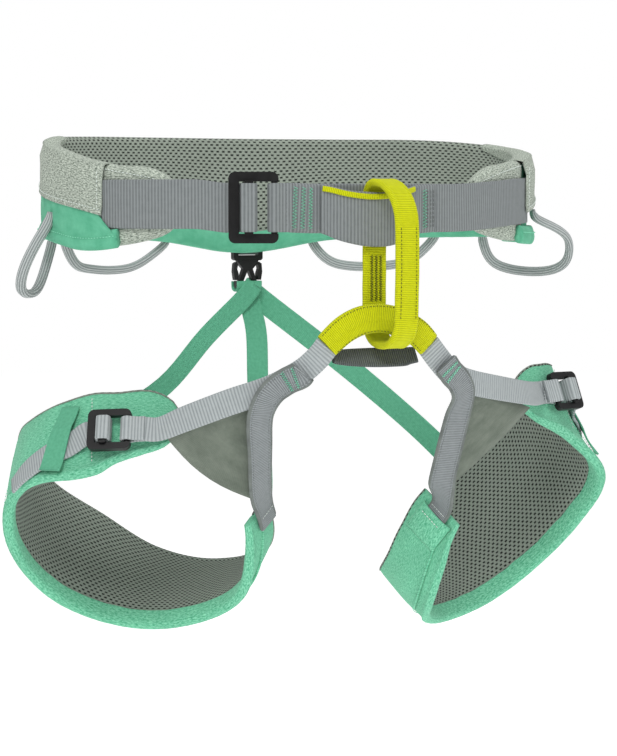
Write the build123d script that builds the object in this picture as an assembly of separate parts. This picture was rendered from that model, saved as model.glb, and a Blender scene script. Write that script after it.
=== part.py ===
"""Climbing harness, open and hanging as if worn, in millimetres.

Origin: centre of the waist opening at the height of the waist webbing.
+X wearer's left, -Y front of the harness, +Z up. "left" and "right" in the node
names are as seen from the front, so left is -X.
"""
from build123d import *
import math
import os

# ---------------------------------------------------------------- sizes
WAIST_X0, WAIST_Y0 = -3.0, 22.0           # centre of the plan curve
WAIST_HALF = 162.5                        # half width of the plan curve
WAIST_FRONT, WAIST_REAR = 128.0, 84.0     # its depth in front and behind
WEB_WAIST, WEB_LEG = 30.0, 16.0           # webbing widths
WEB_T = 2.2                               # webbing thickness
STEP = 6.0                                # degrees between pad stations

LEG_CENTRE = {"left": Vector(-119, -5, -196), "right": Vector(125, -16, -206)}
LEG_SIGN = {"left": -1, "right": 1}
LEG_R = 82.0                              # radius of the middle of the leg pad

# waist pad: angle round the waist, top edge, bottom edge
WAIST_PAD = [
    (-62, 9, -14), (-57, 15, -20), (-45, 22, -25), (-32, 26, -26), (-12, 32, -26),
    (12, 37, -27), (40, 41, -28), (66, 41.5, -29.5), (90, 41.5, -38.5), (114, 41.5, -29.5),
    (140, 41, -27.5), (162, 39, -25), (180, 33, -21.5), (190, 29, -24), (200, 24, -27.5), (210, 20, -27),
    (221, 15, -22), (227, 9, -15),
]
# leg pads: angle round the thigh, hip-side edge, knee-side edge
LEG_PAD = {
    "left": [
        (114, 3, 14), (109, -5, 24), (100, -8, 31), (88, -5, 37), (79, -6, 43), (65, -7, 44),
        (45, -14, 38), (25, -30, 34), (0, -50, 35), (-30, -58, 33), (-60, -57, 33),
        (-90, -36, 35), (-120, -16, 36), (-150, 2, 39), (-168, 9, 38), (-182, 12, 35),
        (-192, 12, 33),
    ],
    "right": [
        (107, -21, -9), (103, -26, -3), (95, -30, 4), (80, -34, 8), (65, -43, 12),
        (50, -56, 21), (30, -62, 35), (0, -58, 35), (-30, -59, 34), (-60, -57, 34),
        (-90, -35, 34), (-120, -15, 38), (-150, -2, 45), (-172, -1, 42), (-186, -3, 35),
        (-194, -3, 32),
    ],
}
# where the pad is conical: middle angle, half span, slope, line along the leg that stays put
LEG_FLARE = {
    "left": [(88, 70, 0.42, 22), (-186, 60, 0.55, 20), (-10, 50, 0.045, -50)],
    "right": [(78, 48, 0.62, -8)],
}
BUCKLE_ANGLE = {"left": 86.4, "right": 74.0}
STRAP_W = {"left": 25.0, "right": -8.0}   # where the leg webbing runs on the pad


# ---------------------------------------------------------------- helpers
def lerp_table(rows, key):
    """Smooth values of a table at one angle."""
    rows = sorted(rows)
    for i in range(len(rows) - 1):
        if rows[i][0] <= key <= rows[i + 1][0]:
            break
    a, b = rows[i], rows[i + 1]
    before = rows[i - 1] if i > 0 else a
    after = rows[i + 2] if i + 2 < len(rows) else b
    span = b[0] - a[0]
    t = (key - a[0]) / span
    out = []
    for k in range(1, len(a)):
        m0 = (b[k] - before[k]) / (b[0] - before[0]) * span
        m1 = (after[k] - a[k]) / (after[0] - a[0]) * span
        h00 = 2 * t ** 3 - 3 * t ** 2 + 1
        h10 = t ** 3 - 2 * t ** 2 + t
        h01 = -2 * t ** 3 + 3 * t ** 2
        h11 = t ** 3 - t ** 2
        out.append(h00 * a[k] + h10 * m0 + h01 * b[k] + h11 * m1)
    return out


def angles(first, last, step=STEP):
    """The two ends and every multiple of the step between them."""
    low, high = min(first, last), max(first, last)
    inside = [k * step for k in range(math.ceil(low / step), math.floor(high / step) + 1)]
    inside = [a for a in inside if low + 1.0 < a < high - 1.0]
    return [low] + inside + [high]


def smooth_rows(rows, per_span):
    """Catmull-Rom points through rows of numbers."""
    first = [2 * a - b for a, b in zip(rows[0], rows[1])]
    last = [2 * a - b for a, b in zip(rows[-1], rows[-2])]
    rows = [first] + [list(r) for r in rows] + [last]
    out = []
    for i in range(1, len(rows) - 2):
        for k in range(per_span):
            t = k / per_span
            p0, p1, p2, p3 = rows[i - 1:i + 3]
            out.append([
                0.5 * (2 * b + (c - a) * t + (2 * a - 5 * b + 4 * c - d) * t ** 2
                       + (3 * b - a - 3 * c + d) * t ** 3)
                for a, b, c, d in zip(p0, p1, p2, p3)
            ])
    out.append(rows[-2])
    return out


def flat_face(points):
    return Face(Wire.make_polygon(points, close=True))


def polyhedron(sections):
    """A closed solid of flat faces through sections with the same number of corners."""
    faces = [flat_face(sections[0]), flat_face(sections[-1])]
    for a, b in zip(sections[:-1], sections[1:]):
        for i in range(len(a)):
            j = (i + 1) % len(a)
            p, q, r, s = a[i], a[j], b[j], b[i]
            normal = (q - p).cross(s - p)
            if abs(normal.normalized().dot(r - p)) < 1e-7:
                faces.append(flat_face([p, q, r, s]))
            elif i < 2:
                faces.append(flat_face([p, q, r]))
                faces.append(flat_face([p, r, s]))
            else:
                faces.append(flat_face([q, r, s]))
                faces.append(flat_face([q, s, p]))
    return Solid(Shell(faces))


def waist_point(angle, off, z):
    t = math.radians(angle)
    depth = (WAIST_FRONT if math.sin(t) < 0 else WAIST_REAR) + off
    return Vector(WAIST_X0 + (WAIST_HALF + off) * math.cos(t), WAIST_Y0 + depth * math.sin(t), z)


def waist_band(first, last, edges, inner, outer, step=STEP):
    """A band round the waist. edges(angle) gives top and bottom, the others offsets."""
    sections = []
    for a in angles(first, last, step):
        top, bottom = edges(a)
        i, o = inner(a), outer(a)
        sections.append([
            waist_point(a, i, top), waist_point(a, o, top),
            waist_point(a, o, bottom), waist_point(a, i, bottom),
        ])
    return polyhedron(sections)


def leg_axes(side):
    n = Vector(0.36 * LEG_SIGN[side], -0.70, -0.62).normalized()
    up = (Vector(0, 0, 1) - n * n.Z).normalized()
    out = up.cross(n) * -1
    if out.X * LEG_SIGN[side] < 0:
        out = out * -1
    return n, out, up


def leg_point(side, angle, r, w):
    n, out, up = leg_axes(side)
    t = math.radians(angle)
    for middle, half, slope, still in LEG_FLARE[side]:
        if abs(angle - middle) < half:
            share = 0.5 + 0.5 * math.cos(math.pi * (angle - middle) / half)
            r -= (w - still) * slope * share
    return LEG_CENTRE[side] + (out * math.cos(t) + up * math.sin(t)) * r + n * w


def leg_across(side, angle, w):
    """Direction along the leg in the face of the pad."""
    return (leg_point(side, angle, LEG_R, w + 1) - leg_point(side, angle, LEG_R, w - 1)).normalized()


def leg_band(side, first, last, edges, inner, outer, step=STEP):
    """A band round a thigh. edges(angle) gives the hip and knee edges along the leg."""
    sections = []
    for a in angles(first, last, step):
        hip, knee = edges(a)
        i, o = inner(a), outer(a)
        sections.append([
            leg_point(side, a, i, hip), leg_point(side, a, o, hip),
            leg_point(side, a, o, knee), leg_point(side, a, i, knee),
        ])
    return polyhedron(sections)


def strap(rows, width, thick, per_span=3):
    """Webbing through rows of x, y, z and its width direction."""
    rows = smooth_rows(rows, per_span)
    points = [Vector(*r[:3]) for r in rows]
    sections = []
    for i, r in enumerate(rows):
        run = (points[min(i + 1, len(points) - 1)] - points[max(i - 1, 0)]).normalized()
        across = Vector(*r[3:6])
        across = (across - run * across.dot(run)).normalized()
        wide = (r[6] if len(r) > 6 else width) / 2
        a, b = across * wide, run.cross(across) * (thick / 2)
        p = points[i]
        sections.append([p - a - b, p + a - b, p + a + b, p - a + b])
    return polyhedron(sections)


def row(point, across, *more):
    return [point.X, point.Y, point.Z, across.X, across.Y, across.Z, *more]


def save(name, shape):
    shape.label = name
    export_step(shape, f"parts/{name}.step")


# ---------------------------------------------------------------- waist belt
def waist_belt():
    edges = lambda a: lerp_table(WAIST_PAD, a)
    end = lambda a: max(0.0, min(1.0, min(a + 62, 227 - a) / 30))
    first, last = -62, 227
    save("waist_foam", waist_band(first, last, edges,
                                  lambda a: -1.8 - 1.7 * end(a), lambda a: 1.2 + 1.8 * end(a)))
    save("waist_mesh_lining", waist_band(first, last, edges,
                                         lambda a: -2.9 - 1.7 * end(a),
                                         lambda a: -2.0 - 1.7 * end(a)))
    save("waist_outer_shell", waist_band(first, last, edges,
                                         lambda a: 1.4 + 1.8 * end(a),
                                         lambda a: 2.4 + 1.8 * end(a)))
    # grey covers over the ends, open at the front for the webbing
    left_low = [(158, 12), (170, 7), (180, 2), (190, -2), (200, -6), (208, -10)]
    right_low = [(-38, -9), (-30, -6), (-20, -2), (-10, 3), (2, 9), (12, 14)]
    lift = lambda a, start: 4.7 + 2.9 * min(1.0, abs(a - start) / 30)
    save("left_end_cover", waist_band(
        158, 208, lambda a: (edges(a)[0], lerp_table(left_low, a)[0]),
        lambda a: lift(a, 158), lambda a: lift(a, 158) + 1.2))
    save("right_end_cover", waist_band(
        -38, 12, lambda a: (edges(a)[0], lerp_table(right_low, a)[0]),
        lambda a: lift(a, 12), lambda a: lift(a, 12) + 1.2))
    # rolled hems under the ends of the shell
    for name, a0, a1 in (("left_shell_hem", 168, 212), ("right_shell_hem", -42, 6)):
        save(name, waist_band(a0, a1, lambda a: (edges(a)[1] + 3.0, edges(a)[1] - 4.0),
                              lambda a: 4.5, lambda a: 6.3))


# ---------------------------------------------------------------- webbing buckle
def buckle_parts(place, web):
    """Frame, slider, fold and sewn wrap. x runs to the sewn side, y across, z outwards."""
    half = web / 2
    bar_x = web * 0.12 + 9.0              # axis of the round bar in the sewn fold
    left_x = -bar_x - 2.5
    rail = 4.4 if web < 20 else 5.8
    inner = half + 0.7
    frame = Box(bar_x + 2.5 - left_x, 2 * (inner + rail), 4.0)
    frame = Pos((bar_x + 2.5 + left_x) / 2, 0, 0) * frame
    frame = fillet(frame.edges().filter_by(Axis.Z), 4.0)
    left_bar = 4.6 if web < 20 else 6.4
    window = Box(bar_x + 0.0 - (left_x + left_bar), 2 * inner, 6)
    frame -= Pos((bar_x + left_x + left_bar) / 2, 0, 0) * window
    frame -= Pos(bar_x + 2, 0, 0) * Box(4.0, 2 * inner, 6)
    frame += Pos(bar_x, 0, 0) * Rot(90, 0, 0) * Cylinder(2.0, 2 * inner + 1)
    slot = left_x + left_bar              # right face of the left bar
    bar0, bar1 = slot + 3.2, slot + 3.2 + (4.2 if web < 20 else 5.4)
    slider = Pos((bar0 + bar1) / 2, 0, 3.35) * Box(bar1 - bar0, 2 * (inner + 0.9), 2.3)
    slider = fillet(slider.edges().filter_by(Axis.Z), 0.8)
    # the adjusting webbing comes up through the window, over the slider and down again
    t = 2.0
    path = [(slot - 1.6, -3.5), (bar0 - 3.1, -3.5), (bar0 - 1.6, -2.2), (bar0 - 1.3, 0), (bar0 - 1.3, 4.2),
            (bar0 - 0.4, 5.5), (bar1 + 0.2, 5.7), (bar1 + 1.3, 4.6), (bar1 + 1.4, 1.0),
            (bar1 + 1.4, -3.2), (bar1 + 0.2, -5.0), (bar1 - 2.0, -5.8), (slot - 1.6, -5.8)]
    fold = ribbon(path, t, web)
    # sewn wrap round the round bar, closing to a double layer
    far = bar_x + 10.0
    turn = [(bar_x + 4.3 * math.cos(math.radians(k)), 4.3 * math.sin(math.radians(k)))
            for k in range(60, 301, 20)]
    outline = [(far, 2.2)] + turn + [(far, -2.2)]
    wrap = extrude(make_face(Polyline([(x, z) for x, z in outline], close=True)), web / 2, both=True)
    wrap -= Pos(bar_x, 0, 0) * Cylinder(2.3, web + 2)
    wrap = Rot(90, 0, 0) * wrap
    tail_x = slot - 1.9
    shapes = [place * s for s in (frame, slider, fold, wrap)]
    return shapes, bar_x, far, tail_x


def ribbon(path, thick, wide):
    """A flat strip that follows a path in the x-z plane, wide in y."""
    left, right = [], []
    for i, p in enumerate(path):
        a = path[max(i - 1, 0)]
        b = path[min(i + 1, len(path) - 1)]
        dx, dz = b[0] - a[0], b[1] - a[1]
        size = math.hypot(dx, dz)
        nx, nz = -dz / size * thick / 2, dx / size * thick / 2
        left.append((p[0] + nx, p[1] + nz))
        right.append((p[0] - nx, p[1] - nz))
    outline = Polyline(left + right[::-1], close=True)
    return Rot(90, 0, 0) * extrude(make_face(outline), wide / 2, both=True)


def place_at(origin, along, outward):
    """x along the webbing, z outwards."""
    return Plane(origin=origin, x_dir=along, z_dir=outward).location


# ---------------------------------------------------------------- waist webbing
def waist_webbing():
    angle = 244.4
    origin = waist_point(angle, 9.5, -5.0)
    along = (waist_point(angle + 1, 9.5, 0) - waist_point(angle - 1, 9.5, 0)).normalized()
    outward = along.cross(Vector(0, 0, 1)) * 1
    place = place_at(origin, along, outward)
    (frame, slider, fold, wrap), bar_x, far, tail_x = buckle_parts(place, WEB_WAIST)
    save("waist_buckle_frame", frame)
    save("waist_buckle_slider", slider)
    save("waist_webbing_fold", fold)

    up = Vector(0, 0, 1)
    local = lambda x, z: origin + along * x + outward * z
    rows = [row(waist_point(a, 6.1, -3.0), up) for a in (204, 208, 214, 220, 226, 232)]
    rows += [row(local(tail_x - 8, -3.6), up), row(local(tail_x - 3, -3.6), up)]
    save("waist_webbing_left", strap(rows, WEB_WAIST, WEB_T, 1))
    rows = [row(local(far - 0.6, 0), up)]
    rows += [row(waist_point(a, off, -5.5), up) for a, off in ((256, 8.6), (259, 8.0))]
    double = strap(rows, WEB_WAIST, 4.4, 1)
    rows = [row(waist_point(a, off, z), up) for a, off, z in (
        (258.5, 7.6, -5.5), (262, 6.6, -5.5), (266, 6.1, -5.5), (272, 6.1, -5.5),
        (278, 6.1, -5.5), (284, 6.1, -5.5), (290, 6.1, -5.5), (296, 6.1, -5),
        (302, 6.1, -4), (308, 6.1, -3), (314, 6.1, -2), (320, 6.1, -1.5), (325, 6.1, -1))]
    single = strap(rows, WEB_WAIST, WEB_T, 1)
    save("waist_webbing_right", wrap + double + single)

    rows = [row(waist_point(a, off, z), up, wide) for a, off, z, wide in (
        (258.2, 12.3, -5.8, 29.5), (259.4, 13.2, -6.6, 30.5), (261, 15.6, -8.4, 31.5),
        (263.5, 18.6, -10.5, 32), (267, 20.4, -12, 33), (271, 20.0, -12, 33),
        (274.5, 16.8, -10.5, 32), (277.5, 12.2, -8, 31), (280, 8.9, -6.4, 30),
        (284.5, 8.7, -5.6, 29.5))]
    save("upper_tie_in_loop", strap(rows, WEB_WAIST, 2.6, 2))
    rows = [row(waist_point(a, off, z), up) for a, off, z in (
        (258.4, 14.2, 6.5), (260, 16.6, 5.6), (263, 20.4, 3.2), (267, 22.6, 1.6), (271, 22.2, 2.0),
        (274.5, 19.0, 3.6), (277.5, 14.4, 5.4), (278.6, 12.6, 6.2))]
    save("tie_in_wear_strip", strap(rows, 3.0, 1.2, 2))
    rows = [row(waist_point(252.9, 13.3, -5.5), up), row(waist_point(256.9, 11.2, -5.5), up)]
    save("waist_bartack_left", strap(rows, 27, 0.5, 1))
    rows = [row(waist_point(281, 10.6, -6), up), row(waist_point(284.2, 10.4, -5.7), up)]
    save("waist_bartack_right", strap(rows, 26, 0.5, 1))


# ---------------------------------------------------------------- belay loop and tie-in
def tie_in():
    rear, front = Vector(-5, -119.2, 0), Vector(0, -153, 0)
    depth = (front - rear).length
    along = (front - rear).normalized()
    top, low = 10.4, -88.0
    half = 8.25
    # centre line as a rounded rectangle in the loop's own plane
    centre = Pos(0, 0) * make_face(
        Polyline([(0, low), (depth, low), (depth, top), (0, top)], close=True))
    corners = centre.vertices()
    radius = {(0, 0): 15.0, (1, 0): 15.0, (1, 1): 14.0, (0, 1): 9.0}
    for v in corners:
        key = (1 if v.X > depth / 2 else 0, 1 if v.Y > (top + low) / 2 else 0)
        near = min(centre.vertices(), key=lambda c: abs(c.X - v.X) + abs(c.Y - v.Y))
        centre = fillet(near, radius[key])
    outer = offset(centre, 2.0, kind=Kind.ARC)
    inner = offset(centre, -2.0, kind=Kind.ARC)
    across = along.cross(Vector(0, 0, 1))
    place = Plane(origin=rear, x_dir=along, z_dir=across).location
    loop = extrude(outer - inner, half, both=True)
    loop = place * loop
    save("belay_loop_webbing", loop)
    patch = place * (Pos(-2.35, -52) * Box(0.6, 26, 12))
    save("belay_loop_bartack", patch)

    rows = [(-41.5, -132, -87, 16), (-38, -132.6, -83.5, 17), (-31, -134, -77.5, 17.5),
            (-22, -135.4, -73, 17.5), (-12, -136, -71.5, 17.5), (-2, -136, -72.5, 17.5),
            (8, -135, -76, 17.5), (18, -133.6, -81.5, 17), (25, -132, -88, 16)]
    sections = []
    smooth = smooth_rows([list(r) for r in rows], 2)
    points = [Vector(*r[:3]) for r in smooth]
    for i, r in enumerate(smooth):
        run = (points[min(i + 1, len(points) - 1)] - points[max(i - 1, 0)]).normalized()
        out = Vector(0, -1, 0)
        out = (out - run * out.dot(run)).normalized()
        across = run.cross(out)
        a, b = across * (r[3] / 2), out * 2.4
        p = points[i]
        sections.append([p - a - b, p + a - b, p + a + b, p - a + b])
    save("lower_tie_in_sleeve", polyhedron(sections))
    tilt = Vector(0, 0.55, 0.83)
    rows = [row(Vector(x, y, z), tilt, w) for x, y, z, w in (
        (-34, -127, -95, 8), (-24, -126, -95.5, 12), (-8, -125.4, -96, 13.5), (10, -125.4, -96, 13.5),
        (19, -126, -95.2, 12))]
    save("leg_crosspiece", strap(rows, 15, 2.2, 2))


# ---------------------------------------------------------------- gear loops
# the two ends (angle round the waist, offset, height) and the points between them
GEAR = {
    "front_left": ((187, 8.6, -10), (153, 8.2, -26), [
        (-182, 4, -26), (-191, 5, -44), (-191, 13, -57), (-182, 24, -61), (-172, 36, -56)]),
    "rear_left": ((146, 8.2, -24), (109, 8.2, -27), [
        (-135, 80, -44), (-122, 88, -47.5), (-104, 95, -49), (-84, 101, -46)]),
    "rear_right": ((72, 8.2, -27), (36, 8.2, -23), [
        (63, 107, -45), (82, 103, -49), (104, 97, -48.5), (122, 90, -44)]),
    "front_right": ((19, 8.2, -24), (-17, 8.6, -9), [
        (166, 54, -44), (176, 46, -50), (189, 33, -52), (199, 18, -50), (203, 6, -42),
        (194, -6, -25)]),
}
GEAR_R = 3.2


def evenly(points, gap):
    """Points about a gap apart along a line of points."""
    along = [0.0]
    for a, b in zip(points[:-1], points[1:]):
        along.append(along[-1] + (b - a).length)
    count = max(2, round(along[-1] / gap))
    out, i = [], 0
    for k in range(count + 1):
        at = along[-1] * k / count
        while i < len(points) - 2 and along[i + 1] < at:
            i += 1
        out.append(points[i] + (points[i + 1] - points[i]) * ((at - along[i]) / (along[i + 1] - along[i])))
    return out


def cord_solid(points, radius, corners=10):
    """A cord of many-sided section through points, with domed ends."""
    dense = evenly([Vector(*r) for r in smooth_rows([[p.X, p.Y, p.Z] for p in points], 6)], 4.2)
    for _ in range(2):
        inside = [(a + b * 2 + c) * 0.25 for a, b, c in zip(dense[:-2], dense[1:-1], dense[2:])]
        dense = [dense[0]] + inside + [dense[-1]]
    side = (dense[1] - dense[0]).cross(Vector(0.3, 0.9, 0.2)).normalized()
    sections = []

    def section(p, run, r):
        over = run.cross(side)
        turn = [2 * math.pi * k / corners for k in range(corners)]
        sections.append([p + side * (r * math.cos(t)) + over * (r * math.sin(t)) for t in turn])

    for i, p in enumerate(dense):
        run = (dense[min(i + 1, len(dense) - 1)] - dense[max(i - 1, 0)]).normalized()
        side = (side - run * side.dot(run)).normalized()
        if i == 0:
            for a in (75, 50, 25):
                section(p - run * (radius * math.sin(math.radians(a))), run,
                        radius * math.cos(math.radians(a)))
        section(p, run, radius)
        if i == len(dense) - 1:
            for a in (25, 50, 75):
                section(p + run * (radius * math.sin(math.radians(a))), run,
                        radius * math.cos(math.radians(a)))
    return polyhedron(sections)


def gear_loops():
    for name, (start, end, middle) in GEAR.items():
        ends = [waist_point(*start), waist_point(*end)]
        lead = Vector(0, 0, -3)
        points = [ends[0], ends[0] + lead] + [Vector(*p) for p in middle] + [ends[1] + lead, ends[1]]
        cord = cord_solid(points, GEAR_R)
        save(f"gear_loop_{name}", cord)
        tabs = []
        for angle, off, z in (start, end):
            low = z + GEAR_R + 0.4
            tabs.append(waist_band(angle - 1.5, angle + 1.5, lambda a: (low + 11, low),
                                   lambda a: 4.6, lambda a: 7.0))
        save(f"gear_tabs_{name}", Compound(children=tabs))


# ---------------------------------------------------------------- rear clip and risers
CLIP_X, CLIP_Y = 3.0, 115.0


def rear_clip():
    receiver = Pos(CLIP_X, CLIP_Y, -39.6) * Box(22, 6, 8.7)
    receiver = fillet(receiver.edges().filter_by(Axis.Y), 2.0)
    receiver -= Pos(CLIP_X, CLIP_Y, -39.0) * Box(15, 7, 2.6)
    save("clip_receiver", receiver)
    tab = Pos(CLIP_X, 111.1, -24.8) * Box(14, 1.3, 30)
    tab += Pos(CLIP_X, 114.2, -38.9) * Box(14, 7.4, 1.8)
    save("clip_keeper_webbing", tab)
    # body: neck, two legs round a triangular window and the bottom bar
    outline = [(-8, -44.0), (8, -44.0), (6.4, -47), (3.6, -50), (6.6, -58.5), (8.8, -58.5), (8.8, -63.5),
               (-8.8, -63.5), (-8.8, -58.5), (-6.6, -58.5), (-3.6, -50), (-6.4, -47)]
    body = make_face(Polyline(outline, close=True))
    body -= make_face(Polyline([(0, -50.5), (4.0, -59.6), (-4.0, -59.6)], close=True))
    body = extrude(body, 2.6, both=True)
    body = Pos(CLIP_X, CLIP_Y, 0) * Rot(90, 0, 0) * body
    save("clip_body", body)
    for name, s in (("clip_left_arm", -1), ("clip_right_arm", 1)):
        arm = [(8.6, -45.0), (10.4, -46.2), (10.9, -52), (10.0, -57.9), (7.7, -57.9), (7.1, -53.5),
               (8.2, -50), (7.6, -47)]
        arm = make_face(Polyline([(s * x, z) for x, z in arm], close=True))
        arm = Pos(CLIP_X, CLIP_Y, 0) * Rot(90, 0, 0) * extrude(arm, 2.4, both=True)
        save(name, arm)


def riser_end(side, angle, gap=2.8):
    """A point just off the hip-side edge of a leg pad, and the edge's direction there."""
    hip = lerp_table(LEG_PAD[side], angle)[0] - gap
    edge = leg_point(side, angle + 2, LEG_R, hip) - leg_point(side, angle - 2, LEG_R, hip)
    return row(leg_point(side, angle, LEG_R, hip), edge.normalized())


def risers():
    save("riser_left", strap([
        [7, CLIP_Y - 3.9, -60.5, -0.69, 0, 0.72], [-2, 109, -71, -0.69, 0, 0.72],
        [-33, 102, -97, -0.69, 0, 0.72], [-66, 97, -130, -0.69, 0, 0.72],
        [-112, 94, -157, -0.6, 0.1, 0.75], riser_end("left", -20)], 14, 1.4, 2))
    save("riser_centre", strap([
        [4, CLIP_Y + 3.9, -60.5, 1, 0, 0], [4.2, CLIP_Y + 3.7, -65.5, 1, 0, 0],
        [5, 112.5, -77, 1, 0, 0], [6, 104, -97, 1, 0, 0],
        [-1, 84, -131, 1, 0.1, 0], [-13, 48, -170, 0.95, 0.3, 0], [-26, 14, -196, 0.8, 0.5, 0.1],
        riser_end("left", -158, 4.5)], 16, 1.4, 2))
    save("riser_right", strap([
        [3, CLIP_Y + 7.0, -60.5, 0.63, 0, 0.77], [15, 119, -72, 0.63, 0, 0.77],
        [76, 104, -121, 0.63, 0, 0.77], [128, 94, -166, 0.6, 0, 0.77],
        riser_end("right", -27)], 16, 1.4, 2))


# ---------------------------------------------------------------- leg loops
def leg_loop(side):
    n, out, up = leg_axes(side)
    pad = LEG_PAD[side]
    first, last = pad[-1][0], pad[0][0]
    edges = lambda a: lerp_table(pad, a)
    near = lambda a: max(0.0, min(1.0, min(a - first, last - a) / 30))
    save(f"{side}_leg_foam", leg_band(side, first, last, edges,
                                      lambda a: LEG_R - 1.2 - 1.4 * near(a),
                                      lambda a: LEG_R + 1.0 + 1.4 * near(a)))
    save(f"{side}_leg_mesh_lining", leg_band(side, first, last, edges,
                                             lambda a: LEG_R - 2.2 - 1.4 * near(a),
                                             lambda a: LEG_R - 1.4 - 1.4 * near(a)))
    save(f"{side}_leg_outer_shell", leg_band(side, first, last, edges,
                                             lambda a: LEG_R + 1.2 + 1.4 * near(a),
                                             lambda a: LEG_R + 2.0 + 1.4 * near(a)))
    shell = LEG_R + 3.4

    # buckle on the webbing in front of the pad
    angle, w = BUCKLE_ANGLE[side], STRAP_W[side]
    r = shell + (7.6 if side == "left" else 12.0)
    origin = leg_point(side, angle, r, w)
    along = (leg_point(side, angle + 1, r, w) - leg_point(side, angle - 1, r, w)).normalized()
    face = leg_across(side, angle, w)
    outward = face.cross(along).normalized()
    if outward.dot(leg_point(side, angle, r + 1, w) - origin) < 0:
        outward = outward * -1
    if side == "right":
        origin = origin + Vector(-3, 0, -2)
        along = Vector(-0.93, -0.37, 0.03).normalized()
        outward = Vector(0.35, -0.85, 0.38)
        outward = (outward - along * outward.dot(along)).normalized()
        face = outward.cross(along)
    place = place_at(origin, along, outward)
    (frame, slider, fold, wrap), bar_x, far, tail_x = buckle_parts(place, WEB_LEG)
    save(f"{side}_buckle_frame", frame)
    save(f"{side}_buckle_slider", slider)
    save(f"{side}_webbing_fold", fold)
    local = lambda x, z: origin + along * x + outward * z

    # outer branch of the leg webbing, from the tie-in to the sewn fold
    rows = [row(local(far - 0.5, 0), face), row(local(far + (10 if side == "left" else 5), -1.0), face)]
    if side == "left":
        rows += [[-118, -93, -132, 0.05, -0.35, -0.93], [-95, -108, -121.5, 0.2, -0.25, -0.94],
                 [-76.5, -118, -114.5, 0.3, -0.15, -0.94], [-64, -124, -108, 0.4, -0.1, -0.9],
                 [-54.5, -128, -101.5, 0.6, 0, -0.8], [-47, -131, -94, 0.7, 0, -0.7],
                 [-43.2, -132, -88.8, 0.75, 0, -0.66]]
    else:
        rows += [[119, -93, -125.5, -0.05, -0.35, -0.93], [91, -110, -120.3, -0.1, -0.25, -0.95],
                 [64, -121, -114.8, -0.15, -0.15, -0.95], [50, -125.5, -110.5, -0.4, -0.1, -0.9],
                 [41, -128.5, -105, -0.6, 0, -0.8], [33, -131, -97.5, -0.7, 0, -0.7],
                 [27, -132, -90.3, -0.7, 0, -0.7]]
    branch = strap(rows, WEB_LEG, 2.2, 3)
    save(f"{side}_outer_webbing", wrap + branch)

    # inner branch, sewn on at the fork and run down to the inner thigh
    end_angle, end_w = (-184, 21) if side == "left" else (-186, 16)
    last_point = leg_point(side, end_angle, shell + 1.2, end_w)
    before = leg_point(side, end_angle - 9, shell + 1.6, end_w)
    end_across = leg_across(side, end_angle, end_w) * -1
    if side == "left":
        rows = [[-59.5, -131, -105, 0.5, 0, -0.86], [-67, -128.6, -108.5, 0.6, 0, -0.8],
                [-75.5, -124, -116.5, 0.86, 0, -0.5], [-78.2, -114.5, -131, 0.98, 0.1, -0.1],
                [-72.5, -100, -153.5, 0.97, 0.2, 0.1], [-66, -84.5, -179, 0.93, 0.25, 0.25],
                row(before, end_across), row(last_point, end_across)]
    else:
        rows = [[41, -133.6, -106.5, -0.6, 0, -0.8], [47, -131.8, -112, -0.7, 0, -0.7],
                [52.5, -127, -121, -0.9, 0, -0.4], [54, -116.5, -135, -1, 0.1, 0],
                [54.5, -105, -156, -0.95, 0.1, 0.25], [55, -93, -180, -0.85, 0.1, 0.45],
                row(before, end_across), row(last_point, end_across)]
    save(f"{side}_inner_webbing", strap(rows, WEB_LEG, 2.2, 3))

    # adjusting webbing under the buckle, ending in a slit in the shell
    if side == "left":
        tail = [(38, 33, 14), (44, 31, 16), (52, 29, 16), (60, 27.5, 16), (68, 26.5, 16)]
    else:
        tail = [(34, -2, 14), (42, -5, 16), (50, -7, 16), (57, -8, 16)]
    rows = [row(leg_point(side, a, shell + 1.6, ww), leg_across(side, a, ww), wide)
            for a, ww, wide in tail]
    rows.append(row(local(tail_x - 5.5, -5.4 if side == "left" else -7.2), face))
    save(f"{side}_webbing_tail", strap(rows[::-1], WEB_LEG, 2.0, 3))

    # elastic keeper across the tail
    keep = 65 if side == "left" else 46
    hip, knee = edges(keep)
    rows = []
    middle = w + 2 if side == "left" else w + 1
    low_end = 1.4 if knee - 3 > middle + 15 else 4.6
    for w1, lift in ((hip + 3, 1.4), (middle - 15, 1.6), (middle - 11, 4.6), (middle + 11, 4.6),
                     (middle + 15, 1.6), (knee - 2.5, low_end)):
        if hip + 2 < w1 < knee - 2:
            slant = 6 - 12 * (w1 - hip) / (knee - hip)
            spread = (leg_point(side, keep + 1, shell, w1) - leg_point(side, keep - 1, shell, w1))
            rows.append(row(leg_point(side, keep + slant, shell + lift, w1), spread))
    save(f"{side}_elastic_keeper", strap(rows, 12, 1.2, 2))

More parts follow.
